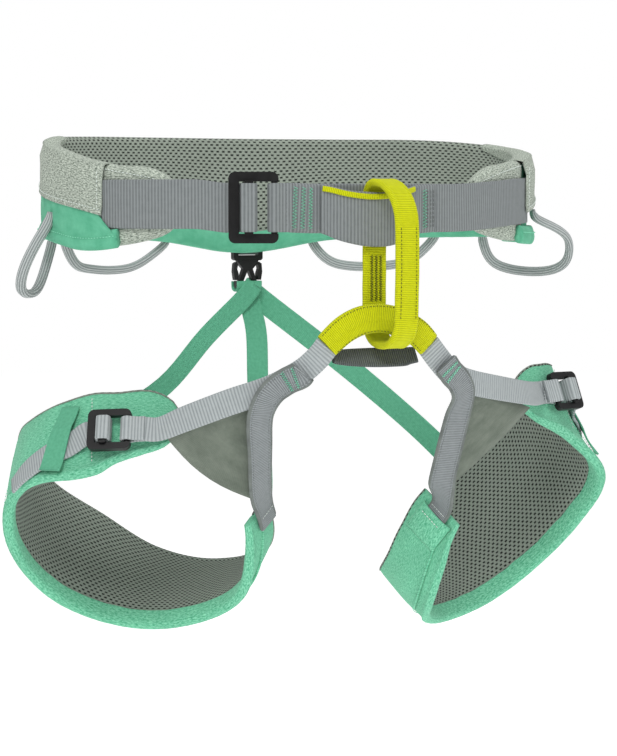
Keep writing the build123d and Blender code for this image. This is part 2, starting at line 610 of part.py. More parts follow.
    # cloth gusset behind the fork
    if side == "left":
        upper = [(-77, -114, -119), (-90, -107.5, -125), (-106, -98.5, -132), (-128, -83.5, -143)]
        lower = [(-78, -111, -127), (-77.5, -104.5, -139), (-74, -94, -156), (-66, -77, -187)]
    else:
        upper = [(60, -118.5, -121), (74, -113.5, -123), (92, -106, -126), (115, -94.5, -131.5)]
        lower = [(57, -114.5, -130), (56.5, -108, -143), (56, -99.5, -160), (56, -87, -184)]
    sections = []
    for p, q in zip(smooth_rows([list(x) for x in upper], 3), smooth_rows([list(x) for x in lower], 3)):
        p, q = Vector(*p), Vector(*q)
        sheet = (q - p).cross(Vector(*upper[-1]) - Vector(*upper[0])).normalized() * 0.5
        sections.append([p - sheet, q - sheet, q + sheet, p + sheet])
    save(f"{side}_gusset", polyhedron(sections))
    mark = {"left": [(-61.5, -132.2, -106), (-70.5, -129.3, -111)],
            "right": [(42, -135.1, -107.6), (49.5, -132.6, -115.6)]}[side]
    p, q = Vector(*mark[0]), Vector(*mark[1])
    out = Vector(0, -1, 0)
    across = (q - p).cross(out).normalized()
    save(f"{side}_leg_bartack", strap([row(p, across), row(q, across)], 13, 0.5, 1))


os.makedirs("parts", exist_ok=True)
waist_belt()
waist_webbing()
tie_in()
gear_loops()
rear_clip()
risers()
for side in ("left", "right"):
    leg_loop(side)
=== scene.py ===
"""Climbing harness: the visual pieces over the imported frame, in metres."""
import bmesh
import bpy
import math
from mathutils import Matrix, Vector, noise


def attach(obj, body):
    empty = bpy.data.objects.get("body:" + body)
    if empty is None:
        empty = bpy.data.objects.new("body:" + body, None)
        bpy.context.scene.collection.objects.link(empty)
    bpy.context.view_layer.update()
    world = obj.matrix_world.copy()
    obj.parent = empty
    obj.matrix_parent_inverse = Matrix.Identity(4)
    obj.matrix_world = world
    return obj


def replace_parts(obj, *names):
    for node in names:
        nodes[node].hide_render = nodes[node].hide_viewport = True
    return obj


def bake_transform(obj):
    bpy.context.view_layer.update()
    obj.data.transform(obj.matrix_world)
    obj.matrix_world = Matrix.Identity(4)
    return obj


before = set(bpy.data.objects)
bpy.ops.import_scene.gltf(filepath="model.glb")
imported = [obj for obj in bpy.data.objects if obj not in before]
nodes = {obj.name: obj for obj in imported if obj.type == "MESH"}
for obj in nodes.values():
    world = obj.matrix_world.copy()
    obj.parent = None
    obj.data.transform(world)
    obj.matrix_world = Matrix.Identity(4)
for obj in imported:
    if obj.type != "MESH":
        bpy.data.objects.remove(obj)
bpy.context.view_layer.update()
MM = 0.001
ONE_BAND = 0.314                          # wave scale that gives one band per unit

# ---------------------------------------------------------------- camera, light, floor
scene = bpy.context.scene
azimuth, elevation, distance = math.radians(-23), math.radians(5), 1.4
target = Vector((0.002, 0.0, -0.119))
back = Vector((math.sin(azimuth) * math.cos(elevation), -math.cos(azimuth) * math.cos(elevation),
               math.sin(elevation)))
camera_data = bpy.data.cameras.new("camera")
camera_data.lens = 100
camera_data.sensor_width = 36
camera = bpy.data.objects.new("camera", camera_data)
scene.collection.objects.link(camera)
camera.location = target + back * distance
camera.rotation_euler = (-back).to_track_quat("-Z", "Y").to_euler()
scene.camera = camera
scene.view_settings.view_transform = "Standard"

world = bpy.data.worlds.new("studio")
scene.world = world
world.use_nodes = True
sky = world.node_tree
glow = sky.nodes["Background"]
glow.inputs[0].default_value = (1.0, 1.0, 1.0, 1.0)
glow.inputs[1].default_value = 0.52
white = sky.nodes.new("ShaderNodeBackground")
white.inputs[0].default_value = (1.0, 1.0, 1.0, 1.0)
white.inputs[1].default_value = 1.0
rays = sky.nodes.new("ShaderNodeLightPath")
choose = sky.nodes.new("ShaderNodeMixShader")
sky.links.new(rays.outputs["Is Camera Ray"], choose.inputs[0])
sky.links.new(glow.outputs[0], choose.inputs[1])
sky.links.new(white.outputs[0], choose.inputs[2])
sky.links.new(choose.outputs[0], sky.nodes["World Output"].inputs[0])


def area_light(name, place, aim, size, power):
    data = bpy.data.lights.new(name, "AREA")
    data.energy, data.size = power, size
    lamp = bpy.data.objects.new(name, data)
    scene.collection.objects.link(lamp)
    lamp.location = place
    lamp.rotation_euler = (Vector(aim) - Vector(place)).to_track_quat("-Z", "Y").to_euler()


area_light("key", (-0.9, -1.6, 1.5), (0, 0, -0.15), 0.8, 27)
area_light("fill", (1.6, -1.2, 0.4), (0, 0, -0.15), 1.0, 6)
area_light("top", (0.0, 0.3, 1.8), (0, 0, -0.1), 0.9, 12)

# ---------------------------------------------------------------- materials


def graph(name):
    material = bpy.data.materials.new(name)
    material.use_nodes = True
    tree = material.node_tree
    shader = tree.nodes["Principled BSDF"]
    return material, tree, shader


def node(tree, kind, links=(), **values):
    made = tree.nodes.new(kind)
    for key, value in values.items():
        setattr(made, key, value)
    for key, value in links:
        if isinstance(value, bpy.types.NodeSocket):
            tree.links.new(value, made.inputs[key])
        else:
            made.inputs[key].default_value = value
    return made


def millimetres(tree, uv=True, stretch=(1, 1, 1)):
    """Surface coordinates in millimetres."""
    source = node(tree, "ShaderNodeTexCoord").outputs["UV" if uv else "Object"]
    scale = tuple(1000 * s for s in stretch)
    return node(tree, "ShaderNodeMapping", [("Vector", source), ("Scale", scale)]).outputs[0]


def ramp(tree, fac, low, high, start=0.3, end=0.7):
    made = node(tree, "ShaderNodeValToRGB", [("Fac", fac)])
    made.color_ramp.elements[0].position = start
    made.color_ramp.elements[1].position = end
    made.color_ramp.elements[0].color = (*low, 1)
    made.color_ramp.elements[1].color = (*high, 1)
    return made.outputs[0]


def mix(tree, fac, a, b, kind="MIX"):
    return node(tree, "ShaderNodeMix", [(0, fac), (6, a), (7, b)], data_type="RGBA",
                blend_type=kind).outputs[2]


def maths(tree, operation, a, b):
    return node(tree, "ShaderNodeMath", [(0, a), (1, b)], operation=operation).outputs[0]


def noise_texture(tree, place, scale, detail=2.0, rough=0.5, output=0):
    return node(tree, "ShaderNodeTexNoise", [("Vector", place), ("Scale", scale), ("Detail", detail),
                                             ("Roughness", rough)]).outputs[output]


def bands(tree, place, pitch, direction, distortion=0.0, detail=2.0, detail_scale=1.0):
    """Wave texture with one band per pitch, in millimetres, changing along the direction."""
    return node(tree, "ShaderNodeTexWave", [
        ("Vector", place), ("Scale", ONE_BAND / pitch), ("Distortion", distortion), ("Detail", detail),
        ("Detail Scale", detail_scale)], bands_direction=direction).outputs["Fac"]


def weighted(tree, first, *more):
    """The sum of (socket, weight) pairs."""
    def part(socket, weight):
        return socket if weight == 1 else maths(tree, "MULTIPLY", socket, weight)

    total = part(*first)
    for pair in more:
        total = maths(tree, "ADD", total, part(*pair))
    return total


def bump(tree, shader, height, depth, strength):
    made = node(tree, "ShaderNodeBump", [("Height", height), ("Distance", depth * MM),
                                         ("Strength", strength)])
    tree.links.new(made.outputs[0], shader.inputs["Normal"])


def cloth_look(shader, rough=0.85, sheen=0.06):
    shader.inputs["Roughness"].default_value = rough
    shader.inputs["Specular IOR Level"].default_value = 0.15
    shader.inputs["Sheen Weight"].default_value = sheen
    shader.inputs["Sheen Roughness"].default_value = 0.5


def heather(name, low, high, contrast, grain=1.0):
    """Melange knit: mixed light and dark yarns with a fine raised surface."""
    material, tree, shader = graph(name)
    stretched = millimetres(tree, True, (0.45 * grain, 1.25 * grain, 1.0 * grain))
    yarns = noise_texture(tree, stretched, 0.85, 3.0, 0.7)
    shade = noise_texture(tree, millimetres(tree), 0.03)
    colour = ramp(tree, yarns, low, high, 0.5 - contrast, 0.5 + contrast)
    colour = mix(tree, 0.35, colour, ramp(tree, shade, (0.72, 0.72, 0.72), (1, 1, 1), 0.3, 0.7),
                 "MULTIPLY")
    tree.links.new(colour, shader.inputs["Base Color"])
    knit = node(tree, "ShaderNodeTexVoronoi", [
        ("Vector", millimetres(tree, True, (1.0, 1.6, 1.3))), ("Scale", 1.3)]).outputs["Distance"]
    bump(tree, shader, weighted(tree, (yarns, 0.8), (knit, -0.6)), 0.35, 0.7)
    cloth_look(shader, 0.9, 0.08)
    return material


def plain_weave(name, low, high, pitch=0.7, uv=True):
    """Fine woven cloth."""
    material, tree, shader = graph(name)
    place = millimetres(tree, uv)
    warp, weft = (bands(tree, place, pitch, way, 0.8, 1.0) for way in ("X", "Y"))
    weave = maths(tree, "MULTIPLY", warp, weft)
    cloud = noise_texture(tree, place, 0.09, 5.0, 0.62)
    colour = ramp(tree, cloud, low, high, 0.33, 0.68)
    colour = mix(tree, 0.25, colour, ramp(tree, weave, (0.55, 0.55, 0.55), (1, 1, 1), 0.0, 0.5),
                 "MULTIPLY")
    tree.links.new(colour, shader.inputs["Base Color"])
    bump(tree, shader, weave, 0.12, 0.6)
    cloth_look(shader)
    return material


def air_mesh(name, cloth, hole_shade, width, height, hole_width, hole_height):
    """Spacer mesh: knitted face with staggered holes, painted near-black for the shade down in them."""
    material, tree, shader = graph(name)
    place = millimetres(tree)
    wall = (height - hole_height) / 2
    squeeze = 2 * wall / (width - hole_width)
    wobble = noise_texture(tree, place, 0.35, output="Color")
    offset = node(tree, "ShaderNodeVectorMath", [(0, wobble), ("Scale", 0.55)], operation="SCALE").outputs[0]
    moved = node(tree, "ShaderNodeVectorMath", [(0, place), (1, offset)], operation="ADD").outputs[0]
    small = node(tree, "ShaderNodeMapping", [
        ("Vector", moved), ("Scale", (0.1 * squeeze, 0.1, 0.1))]).outputs[0]
    cells = node(tree, "ShaderNodeTexBrick", [
        ("Vector", small), ("Color1", (0, 0, 0, 1)), ("Color2", (0, 0, 0, 1)), ("Mortar", (1, 1, 1, 1)),
        ("Scale", 1.0), ("Mortar Size", 0.1 * wall), ("Mortar Smooth", 0.5),
        ("Brick Width", 0.1 * squeeze * width), ("Row Height", 0.1 * height)], offset=0.5, offset_frequency=2)
    solid = cells.outputs["Fac"]
    fibre = noise_texture(tree, place, 1.6, 3.0)
    face = ramp(tree, fibre, tuple(0.78 * c for c in cloth), tuple(min(1, 1.18 * c) for c in cloth), 0.3, 0.7)
    # painted shade: the holes take a near-black colour for the shade inside them
    colour = mix(tree, solid, (*hole_shade, 1), face)
    shade = noise_texture(tree, place, 0.02)
    colour = mix(tree, 0.3, colour, ramp(tree, shade, (0.75, 0.75, 0.75), (1, 1, 1)), "MULTIPLY")
    tree.links.new(colour, shader.inputs["Base Color"])
    bump(tree, shader, weighted(tree, (solid, 1), (fibre, 0.25)), 0.5, 0.9)
    cloth_look(shader, 0.9, 0.06)
    return material


def webbing(name, low, high, pitch, depth):
    """Flat webbing with ribs across its width and a fine weave along them."""
    material, tree, shader = graph(name)
    place = millimetres(tree)
    ribs = bands(tree, place, pitch, "X", 0.35, 1.0, 0.6)
    weave = bands(tree, place, 0.8, "Y", 0.6, 1.0)
    cloud = noise_texture(tree, place, 0.25, 4.0)
    fine = weighted(tree, (ribs, 0.62), (weave, 0.16), (cloud, 0.36))
    tree.links.new(ramp(tree, fine, low, high, 0.22, 0.82), shader.inputs["Base Color"])
    bump(tree, shader, weighted(tree, (ribs, 1), (weave, 0.25)), depth, 0.8)
    cloth_look(shader, 0.75, 0.03)
    return material


def elastic(name, low, high):
    """Knitted elastic: close fine ribs along the strap and small cross ridges."""
    material, tree, shader = graph(name)
    place = millimetres(tree)
    cords = bands(tree, place, 0.9, "Y", 0.3)
    ridges = bands(tree, place, 0.7, "X", 0.5, 1.0)
    cloud = noise_texture(tree, place, 0.5, 4.0)
    fine = weighted(tree, (cords, 0.25), (ridges, 0.25), (cloud, 0.6))
    tree.links.new(ramp(tree, fine, low, high, 0.25, 0.85), shader.inputs["Base Color"])
    bump(tree, shader, maths(tree, "ADD", cords, ridges), 0.15, 0.6)
    cloth_look(shader, 0.8, 0.05)
    return material


def hard(name, colour, rough, wear):
    """Anodised metal or moulded plastic with uneven gloss and rubbed edges."""
    material, tree, shader = graph(name)
    place = millimetres(tree, False)
    cloud = noise_texture(tree, place, 0.35, 5.0)
    edge = node(tree, "ShaderNodeNewGeometry").outputs["Pointiness"]
    rubbed = ramp(tree, edge, colour, wear, 0.53, 0.62)
    tint = ramp(tree, cloud, tuple(0.7 * c for c in colour), tuple(1.5 * c for c in colour), 0.35, 0.65)
    tree.links.new(mix(tree, 0.3, tint, rubbed), shader.inputs["Base Color"])
    gloss = node(tree, "ShaderNodeMapRange", [("Value", cloud), (3, rough - 0.08), (4, rough + 0.12)])
    tree.links.new(gloss.outputs[0], shader.inputs["Roughness"])
    bump(tree, shader, noise_texture(tree, place, 3.0), 0.04, 0.5)
    shader.inputs["Specular IOR Level"].default_value = 0.22
    return material


def ribbed_cord(name, low, high):
    """Plastic-sleeved gear loop with ribs along its length."""
    material, tree, shader = graph(name)
    place = millimetres(tree)
    ribs = bands(tree, place, 1.7, "Y")
    weave = bands(tree, place, 0.9, "X", 0.5)
    both = weighted(tree, (ribs, 0.8), (weave, 0.2))
    tree.links.new(ramp(tree, both, low, high, 0.05, 0.8), shader.inputs["Base Color"])
    bump(tree, shader, both, 0.35, 0.8)
    cloth_look(shader, 0.55, 0.1)
    return material


JADE = heather("jade_heather", (0.055, 0.34, 0.185), (0.27, 0.70, 0.47), 0.15)
JADE_PLAIN = plain_weave("jade_cloth", (0.09, 0.40, 0.24), (0.15, 0.52, 0.33))
SAGE = heather("sage_heather", (0.13, 0.16, 0.13), (0.60, 0.66, 0.57), 0.12, 1.3)
SUEDE = plain_weave("grey_gusset", (0.125, 0.15, 0.12), (0.19, 0.22, 0.18), 0.55)
# each lining's second colour is the painted shade in its holes
MESH_WAIST = air_mesh("belt_mesh", (0.29, 0.33, 0.28), (0.03, 0.036, 0.03), 4.4, 2.3, 1.25, 0.85)
MESH_LEG = air_mesh("leg_mesh", (0.235, 0.27, 0.23), (0.022, 0.026, 0.022), 4.2, 2.3, 1.2, 0.9)
GREY_WEB = webbing("grey_webbing", (0.135, 0.15, 0.152), (0.235, 0.255, 0.258), 2.1, 0.22)
LEG_WEB = webbing("light_webbing", (0.245, 0.27, 0.275), (0.40, 0.435, 0.44), 2.0, 0.2)
INNER_WEB = webbing("inner_webbing", (0.14, 0.155, 0.16), (0.28, 0.305, 0.31), 1.3, 0.25)
# painted shade: grey webbing darkened for the shade the crosspiece lies in, under the tie-in sleeve and belay
# loop
SHADED_GREY_WEB = webbing("dark_webbing", (0.04, 0.045, 0.045), (0.12, 0.135, 0.13), 1.4, 0.25)
YELLOW = webbing("yellow_webbing", (0.36, 0.385, 0.002), (0.64, 0.68, 0.004), 1.1, 0.3)
ELASTIC = elastic("jade_elastic", (0.07, 0.30, 0.18), (0.145, 0.48, 0.30))
BLACK = hard("black_metal", (0.004, 0.004, 0.0043), 0.36, (0.02, 0.02, 0.02))
PLASTIC = hard("black_plastic", (0.006, 0.006, 0.0065), 0.45, (0.025, 0.025, 0.025))
CORD = ribbed_cord("grey_cord", (0.17, 0.195, 0.195), (0.46, 0.49, 0.485))
GREEN_THREAD = elastic("green_thread", (0.16, 0.55, 0.36), (0.30, 0.78, 0.55))
GREY_THREAD = elastic("grey_thread", (0.10, 0.115, 0.115), (0.22, 0.24, 0.24))
LIGHT_THREAD = elastic("light_thread", (0.55, 0.62, 0.58), (0.80, 0.86, 0.82))
DARK_THREAD = elastic("dark_thread", (0.07, 0.075, 0.015), (0.16, 0.17, 0.025))
GREY_BIND = plain_weave("grey_binding", (0.13, 0.145, 0.14), (0.20, 0.225, 0.21), 0.5)

# ---------------------------------------------------------------- shape of the frame
WAIST_X0, WAIST_Y0, WAIST_HALF, WAIST_FRONT, WAIST_REAR = -3.0, 22.0, 162.5, 128.0, 84.0
LEG_CENTRE = {"left": Vector((-119, -5, -196)), "right": Vector((125, -16, -206))}
LEG_SIGN = {"left": -1, "right": 1}
LEG_R = 82.0
WAIST_PAD = [
    (-62, 9, -14), (-57, 15, -20), (-45, 22, -25), (-32, 26, -26), (-12, 32, -26),
    (12, 37, -27), (40, 41, -28), (66, 41.5, -29.5), (90, 41.5, -38.5), (114, 41.5, -29.5),
    (140, 41, -27.5), (162, 39, -25), (180, 33, -21.5), (190, 29, -24), (200, 24, -27.5), (210, 20, -27),
    (221, 15, -22), (227, 9, -15),
]
LEG_PAD = {
    "left": [
        (114, 3, 14), (109, -5, 24), (100, -8, 31), (88, -5, 37), (79, -6, 43), (65, -7, 44),
        (45, -14, 38), (25, -30, 34), (0, -50, 35), (-30, -58, 33), (-60, -57, 33),
        (-90, -36, 35), (-120, -16, 36), (-150, 2, 39), (-168, 9, 38), (-182, 12, 35),
        (-192, 12, 33),
    ],
    "right": [
        (103, -17, -6), (101, -22, -4), (97, -27, 2), (89, -30.5, 6), (80, -31, 8), (65, -36, 12),
        (50, -50, 21), (30, -62, 35), (0, -58, 35), (-30, -59, 34), (-60, -57, 34),
        (-90, -35, 34), (-120, -15, 38), (-150, -2, 45), (-172, -1, 42), (-186, -3, 35),
        (-194, -3, 32),
    ],
}
LEG_FLARE = {
    "left": [(88, 70, 0.42, 22), (-186, 60, 0.55, 20), (-10, 50, 0.045, -50)],
    "right": [(78, 48, 0.62, -8)],
}
BUCKLE_ANGLE = {"left": 86.4, "right": 74.0}
STRAP_W = {"left": 25.0, "right": -8.0}
UP = Vector((0, 0, 1))


def table(rows, key):
    """Smooth values of a table at one angle."""
    rows = sorted(rows)
    key = min(max(key, rows[0][0]), rows[-1][0])
    i = max(j for j in range(len(rows) - 1) if rows[j][0] <= key)
    a, b = rows[i], rows[i + 1]
    before = rows[i - 1] if i > 0 else a
    after = rows[i + 2] if i + 2 < len(rows) else b
    span = b[0] - a[0]
    t = (key - a[0]) / span
    out = []
    for k in range(1, len(a)):
        m0 = (b[k] - before[k]) / (b[0] - before[0]) * span
        m1 = (after[k] - a[k]) / (after[0] - a[0]) * span
        out.append((2 * t ** 3 - 3 * t ** 2 + 1) * a[k] + (t ** 3 - 2 * t ** 2 + t) * m0
                   + (3 * t ** 2 - 2 * t ** 3) * b[k] + (t ** 3 - t ** 2) * m1)
    return out


def smooth_rows(rows, per_span):
    """Catmull-Rom points through rows of numbers."""
    rows = [list(r) for r in rows]
    ahead = [2 * a - b for a, b in zip(rows[0], rows[1])]
    beyond = [2 * a - b for a, b in zip(rows[-1], rows[-2])]
    rows = [ahead] + rows + [beyond]
    out = []
    for i in range(1, len(rows) - 2):
        for k in range(per_span):
            t = k / per_span
            out.append([0.5 * (2 * b + (c - a) * t + (2 * a - 5 * b + 4 * c - d) * t ** 2
                               + (3 * b - a - 3 * c + d) * t ** 3)
                        for a, b, c, d in zip(*rows[i - 1:i + 3])])
    return out + [rows[-2]]


def run_at(points, i):
    """The direction of a line of points at one of them."""
    return (points[min(i + 1, len(points) - 1)] - points[max(i - 1, 0)]).normalized()


def square_to(run, way):
    """A direction turned square to a run."""
    return (way - run * way.dot(run)).normalized()


def lengths(points):
    """The distance along a line of points to each of them."""
    along = [0.0]
    for a, b in zip(points[:-1], points[1:]):
        along.append(along[-1] + (b - a).length)
    return along


def evenly(points, gap):
    """Points about a gap apart along a line of points."""
    along = lengths(points)
    count, out, i = max(2, round(along[-1] / gap)), [], 0
    for k in range(count + 1):
        at = along[-1] * k / count
        while i < len(points) - 2 and along[i + 1] < at:
            i += 1
        out.append(points[i].lerp(points[i + 1], (at - along[i]) / max(1e-9, along[i + 1] - along[i])))
    return out


def waist_point(angle, off, z):
    t = math.radians(angle)
    depth = (WAIST_FRONT if math.sin(t) < 0 else WAIST_REAR) + off
    return Vector((WAIST_X0 + (WAIST_HALF + off) * math.cos(t), WAIST_Y0 + depth * math.sin(t), z))


def leg_axes(side):
    n = Vector((0.36 * LEG_SIGN[side], -0.70, -0.62)).normalized()
    up = (UP - n * n.z).normalized()
    out = n.cross(up)
    return n, (out if out.x * LEG_SIGN[side] > 0 else -out), up


def leg_point(side, angle, r, w):
    n, out, up = leg_axes(side)
    t = math.radians(angle)
    for middle, half, slope, still in LEG_FLARE[side]:
        if abs(angle - middle) < half:
            r -= (w - still) * slope * (0.5 + 0.5 * math.cos(math.pi * (angle - middle) / half))
    return LEG_CENTRE[side] + (out * math.cos(t) + up * math.sin(t)) * r + n * w


def leg_across(side, angle, w):
    return (leg_point(side, angle, LEG_R, w + 1) - leg_point(side, angle, LEG_R, w - 1)).normalized()


# ---------------------------------------------------------------- mesh makers
def flip_out(mesh):
    """Turn every face outwards."""
    work = bmesh.new()
    work.from_mesh(mesh)
    bmesh.ops.recalc_face_normals(work, faces=work.faces)
    work.to_mesh(mesh)
    work.free()


def new_mesh(name, verts, faces):
    mesh = bpy.data.meshes.new(name)
    mesh.from_pydata(verts, [], faces)
    return mesh, mesh.uv_layers.new(name="UVMap")


def finish_piece(name, mesh, material, body, replaces=()):
    obj = bpy.data.objects.new(name, mesh)
    scene.collection.objects.link(obj)
    flip_out(mesh)
    mesh.materials.append(material)
    for poly in mesh.polygons:
        poly.use_smooth = True
    if body:
        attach(obj, body)
    if replaces:
        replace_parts(obj, *replaces)
    return obj


def grid(name, rows, material, body, replaces=(), capped=True):
    """A skin over rows of points in millimetres. i runs along the piece, j round its section."""
    n, m = len(rows), len(rows[0])
    along = [0.0]
    for i in range(1, n):
        along.append(along[-1] + sum((rows[i][j] - rows[i - 1][j]).length for j in range(m)) / m)
    middle = rows[n // 2]
    girth = [0.0]
    for j in range(1, m + 1):
        girth.append(girth[-1] + (middle[j % m] - middle[j - 1]).length)
    verts = [p * MM for r in rows for p in r]
    faces, uvs = [], []
    for i in range(n - 1):
        for j in range(m):
            k = (j + 1) % m
            faces.append((i * m + j, i * m + k, (i + 1) * m + k, (i + 1) * m + j))
            uvs.append(((along[i], girth[j]), (along[i], girth[j + 1]),
                        (along[i + 1], girth[j + 1]), (along[i + 1], girth[j])))
    if capped:
        for i, order in ((0, range(m - 1, -1, -1)), (n - 1, range(m))):
            faces.append(tuple(i * m + j for j in order))
            uvs.append(tuple((along[i], girth[j]) for j in order))
    mesh, layer = new_mesh(name, verts, faces)
    at = 0
    for corner_uvs in uvs:
        for u, v in corner_uvs:
            layer.data[at].uv = (u * MM, v * MM)
            at += 1
    return finish_piece(name, mesh, material, body, replaces)


def flat_section(width, thick, steps=10):
    """A rounded strip: pairs of across and out."""
    r = thick / 2
    w = width / 2 - r
    top = [(-w + 2 * w * k / steps, r) for k in range(steps + 1)]
    right = [(w + r * math.cos(t), r * math.sin(t)) for t in (math.radians(a) for a in (50, 0, -50))]
    return top + right + [(-x, -y) for x, y in top] + [(-x, -y) for x, y in right]


def frames_along(rows, per_span, upright=False):
    """Points with width direction, normal and width, along a strap."""
    rows = smooth_rows(rows, per_span)
    points = [Vector(r[:3]) for r in rows]
    out = []
    for i, r in enumerate(rows):
        run = run_at(points, i)
        across = Vector(r[3:6])
        square = square_to(run, across)
        out.append((points[i], across.normalized() if upright else square, run.cross(square),
                    r[6] if len(r) > 6 else None))
    return out


def strap(name, rows, width, thick, material, body, replaces=(), per_span=5, upright=False):
    """Webbing through rows of x, y, z, width direction and optional width."""
    frames = frames_along(rows, per_span, upright)
    sections = []
    for p, across, normal, wide in frames:
        wide = wide or width
        sections.append([p + across * x + normal * y for x, y in flat_section(wide, thick)])
    obj = grid(name, sections, material, body, replaces)
    return obj, frames


def on_strap(frames, share, v, lift, width):
    """A point on a strap: share of its length, v across from -1 to 1, lift off its middle."""
    t = share * (len(frames) - 1)
    i = min(int(t), len(frames) - 2)
    f = t - i
    p = frames[i][0].lerp(frames[i + 1][0], f)
    a = frames[i][1].lerp(frames[i + 1][1], f).normalized()
    n = frames[i][2].lerp(frames[i + 1][2], f).normalized()
    wide = frames[i][3] or width
    return p + a * (v * wide / 2) + n * lift


def tube(name, lines, radius, material, body, sides=6):
    """Thin threads along one or more lines, as one mesh."""
    verts, faces = [], []
    for line in lines:
        if len(line) < 2:
            continue
        side = None
        base = len(verts)
        for i, p in enumerate(line):
            run = run_at(line, i)
            if side is None:
                side = run.cross(Vector((0.31, 0.52, 0.79))).normalized()
            side = square_to(run, side)
            over = run.cross(side)
            r = radius * (0.35 if i in (0, len(line) - 1) else 1.0)
            for k in range(sides):
                t = 2 * math.pi * k / sides
                verts.append((p + side * (r * math.cos(t)) + over * (r * math.sin(t))) * MM)
        for i in range(len(line) - 1):
            for k in range(sides):
                j = (k + 1) % sides
                faces.append((base + i * sides + k, base + i * sides + j,
                              base + (i + 1) * sides + j, base + (i + 1) * sides + k))
        faces.append(tuple(base + k for k in range(sides - 1, -1, -1)))
        faces.append(tuple(base + (len(line) - 1) * sides + k for k in range(sides)))
    mesh, layer = new_mesh(name, verts, faces)
    for loop in mesh.loops:
        co = mesh.vertices[loop.vertex_index].co
        layer.data[loop.index].uv = (co.x + co.y, co.z)
    return finish_piece(name, mesh, material, body)


def stitches(name, curves, pitch, length, radius, material, body, sink=0.15):
    """Single stitches along surface curves. Each curve is a list of points just on the surface
    and outward directions."""
    lines = []
    for curve in curves:
        points = [c[0] for c in curve]
        total = lengths(points)
        at = pitch * 0.4

        def place(d):
            d = min(max(d, 0), total[-1] - 1e-6)
            i = max(k for k in range(len(total) - 1) if total[k] <= d)
            f = (d - total[i]) / max(1e-9, total[i + 1] - total[i])
            return points[i].lerp(points[i + 1], f), curve[i][1].lerp(curve[i + 1][1], f).normalized()

        while at + length < total[-1]:
            line = []
            for k in range(5):
                p, out = place(at + length * k / 4)
                rise = math.sin(math.pi * k / 4) * radius * 0.9 - sink
                line.append(p + out * rise)
            lines.append(line)
            at += pitch
    return tube(name, lines, radius, material, body, 5)


# ---------------------------------------------------------------- padded bands
def pad_rows(point, angles, edges, outer, inner, rim, seam, puff=0.9):
    """Sections of a padded band. point(angle, off, s) with s from the first edge to the rimmed edge."""
    rows = []
    for a in angles:
        h, k = edges(a)
        o, i = outer(a), inner(a)
        mid, half = (o + i) / 2, (o - i) / 2
        length = k - h
        bulb = min(half + rim, length * 0.3)
        sec = []
        for q in range(13):
            t = q / 12
            s = h + half * 0.8 + (length - half * 0.8 - bulb) * t
            crown = puff * math.sin(math.pi * min(1, t * 1.15)) ** 0.8
            dimple = 0.35 * noise.noise(Vector((a * 0.11, s * 0.09, 3.7)))
            sec.append((s, o + crown - 0.7 + dimple))
        for q in range(1, 8):
            t = math.radians(90 - 180 * q / 8)
            wave = 1 + 0.05 * noise.noise(Vector((a * 0.35, q * 0.2, 9.1)))
            sec.append((k - bulb + bulb * wave * math.cos(t), mid + bulb * wave * math.sin(t)))
        wrap = min(seam, length * 0.45)
        sec.append((k - bulb - 1.0, mid - bulb + 0.1))
        sec.append((k - wrap * 0.8, i - rim * 0.75))
        sec.append((k - wrap, i + 0.2))
        sec.append((k - wrap - 1.5, i + 0.8))
        for q in range(4):
            sec.append((k - wrap - 3 + (h + half - (k - wrap - 3)) * (q + 1) / 4, i + 0.8))
        for q in range(1, 5):
            t = math.radians(-90 - 180 * q / 5)
            sec.append((h + half + half * math.cos(t), mid + (half - 0.3) * math.sin(t)))
        rows.append([point(a, d, s) for s, d in sec])
    return rows


def lining_rows(point, angles, edges, inner, outer, seam):
    """Thin lining on the inner face: from the rim's seam to the first edge and over it."""
    rows = []
    for a in angles:
        h, k = edges(a)
        i, o = inner(a), outer(a)
        mid, half = (o + i) / 2, (o - i) / 2
        wrap = min(seam, (k - h) * 0.45)
        face = []
        for q in range(11):
            t = q / 10
            s = k - wrap + 0.4 + (h + half - (k - wrap)) * t
            dimple = 0.55 * noise.noise(Vector((a * 0.14, s * 0.1, 1.3)))
            pillow = -0.9 * math.sin(math.pi * t) ** 0.6
            face.append((s, i + pillow + dimple + (0.7 if q == 0 else 0.0)))
        for q in range(1, 6):
            t = math.radians(-90 - 150 * q / 5)
            face.append((h + half + (half + 0.45) * math.cos(t), mid + (half + 0.25) * math.sin(t)))
        under = []
        for q in range(5, 0, -1):
            t = math.radians(-90 - 150 * q / 5)
            under.append((h + half + (half - 0.25) * math.cos(t), mid + (half - 0.5) * math.sin(t)))
        for q in range(10, -1, -1):
            t = q / 10
            s = k - wrap + 0.4 + (h + half - (k - wrap)) * t
            under.append((s, i + 0.9 + (0.5 if q == 0 else 0.0)))
        rows.append([point(a, d, s) for s, d in face + under])
    return rows


def sleeve_rows(point, angles, edges, inner, outer, lift):
    """A thin skin right round a band, a little outside it."""
    rows = []
    for a in angles:
        h, k = edges(a)
        i, o = inner(a) - lift, outer(a) + lift
        mid, half = (o + i) / 2, (o - i) / 2
        sec = [(h + half * 0.8 + (k - h - half * 1.6) * q / 8,
                o + 0.25 * noise.noise(Vector((a * 0.2, q * 0.5, 5))))
               for q in range(9)]
        sec += [(k - half * 0.8 + half * math.cos(t), mid + half * math.sin(t))
                for t in (math.radians(x) for x in (55, 20, -20, -55))]
        sec += [(k - half * 0.8 + (h - k + half * 1.6) * q / 8, i) for q in range(9)]
        sec += [(h + half * 0.8 + half * math.cos(t), mid + half * math.sin(t))
                for t in (math.radians(x) for x in (-125, -160, -200, -235))]
        rows.append([point(a, d, s) for s, d in sec])
    return rows


def span(first, last, step):
    n = max(1, round(abs(last - first) / step))
    return [first + (last - first) * k / n for k in range(n + 1)]


# ---------------------------------------------------------------- waist belt
def belt_edges(a):
    top, bottom = table(WAIST_PAD, a)
    return -top, -bottom


def belt_point(a, off, s):
    return waist_point(a, off, -s)


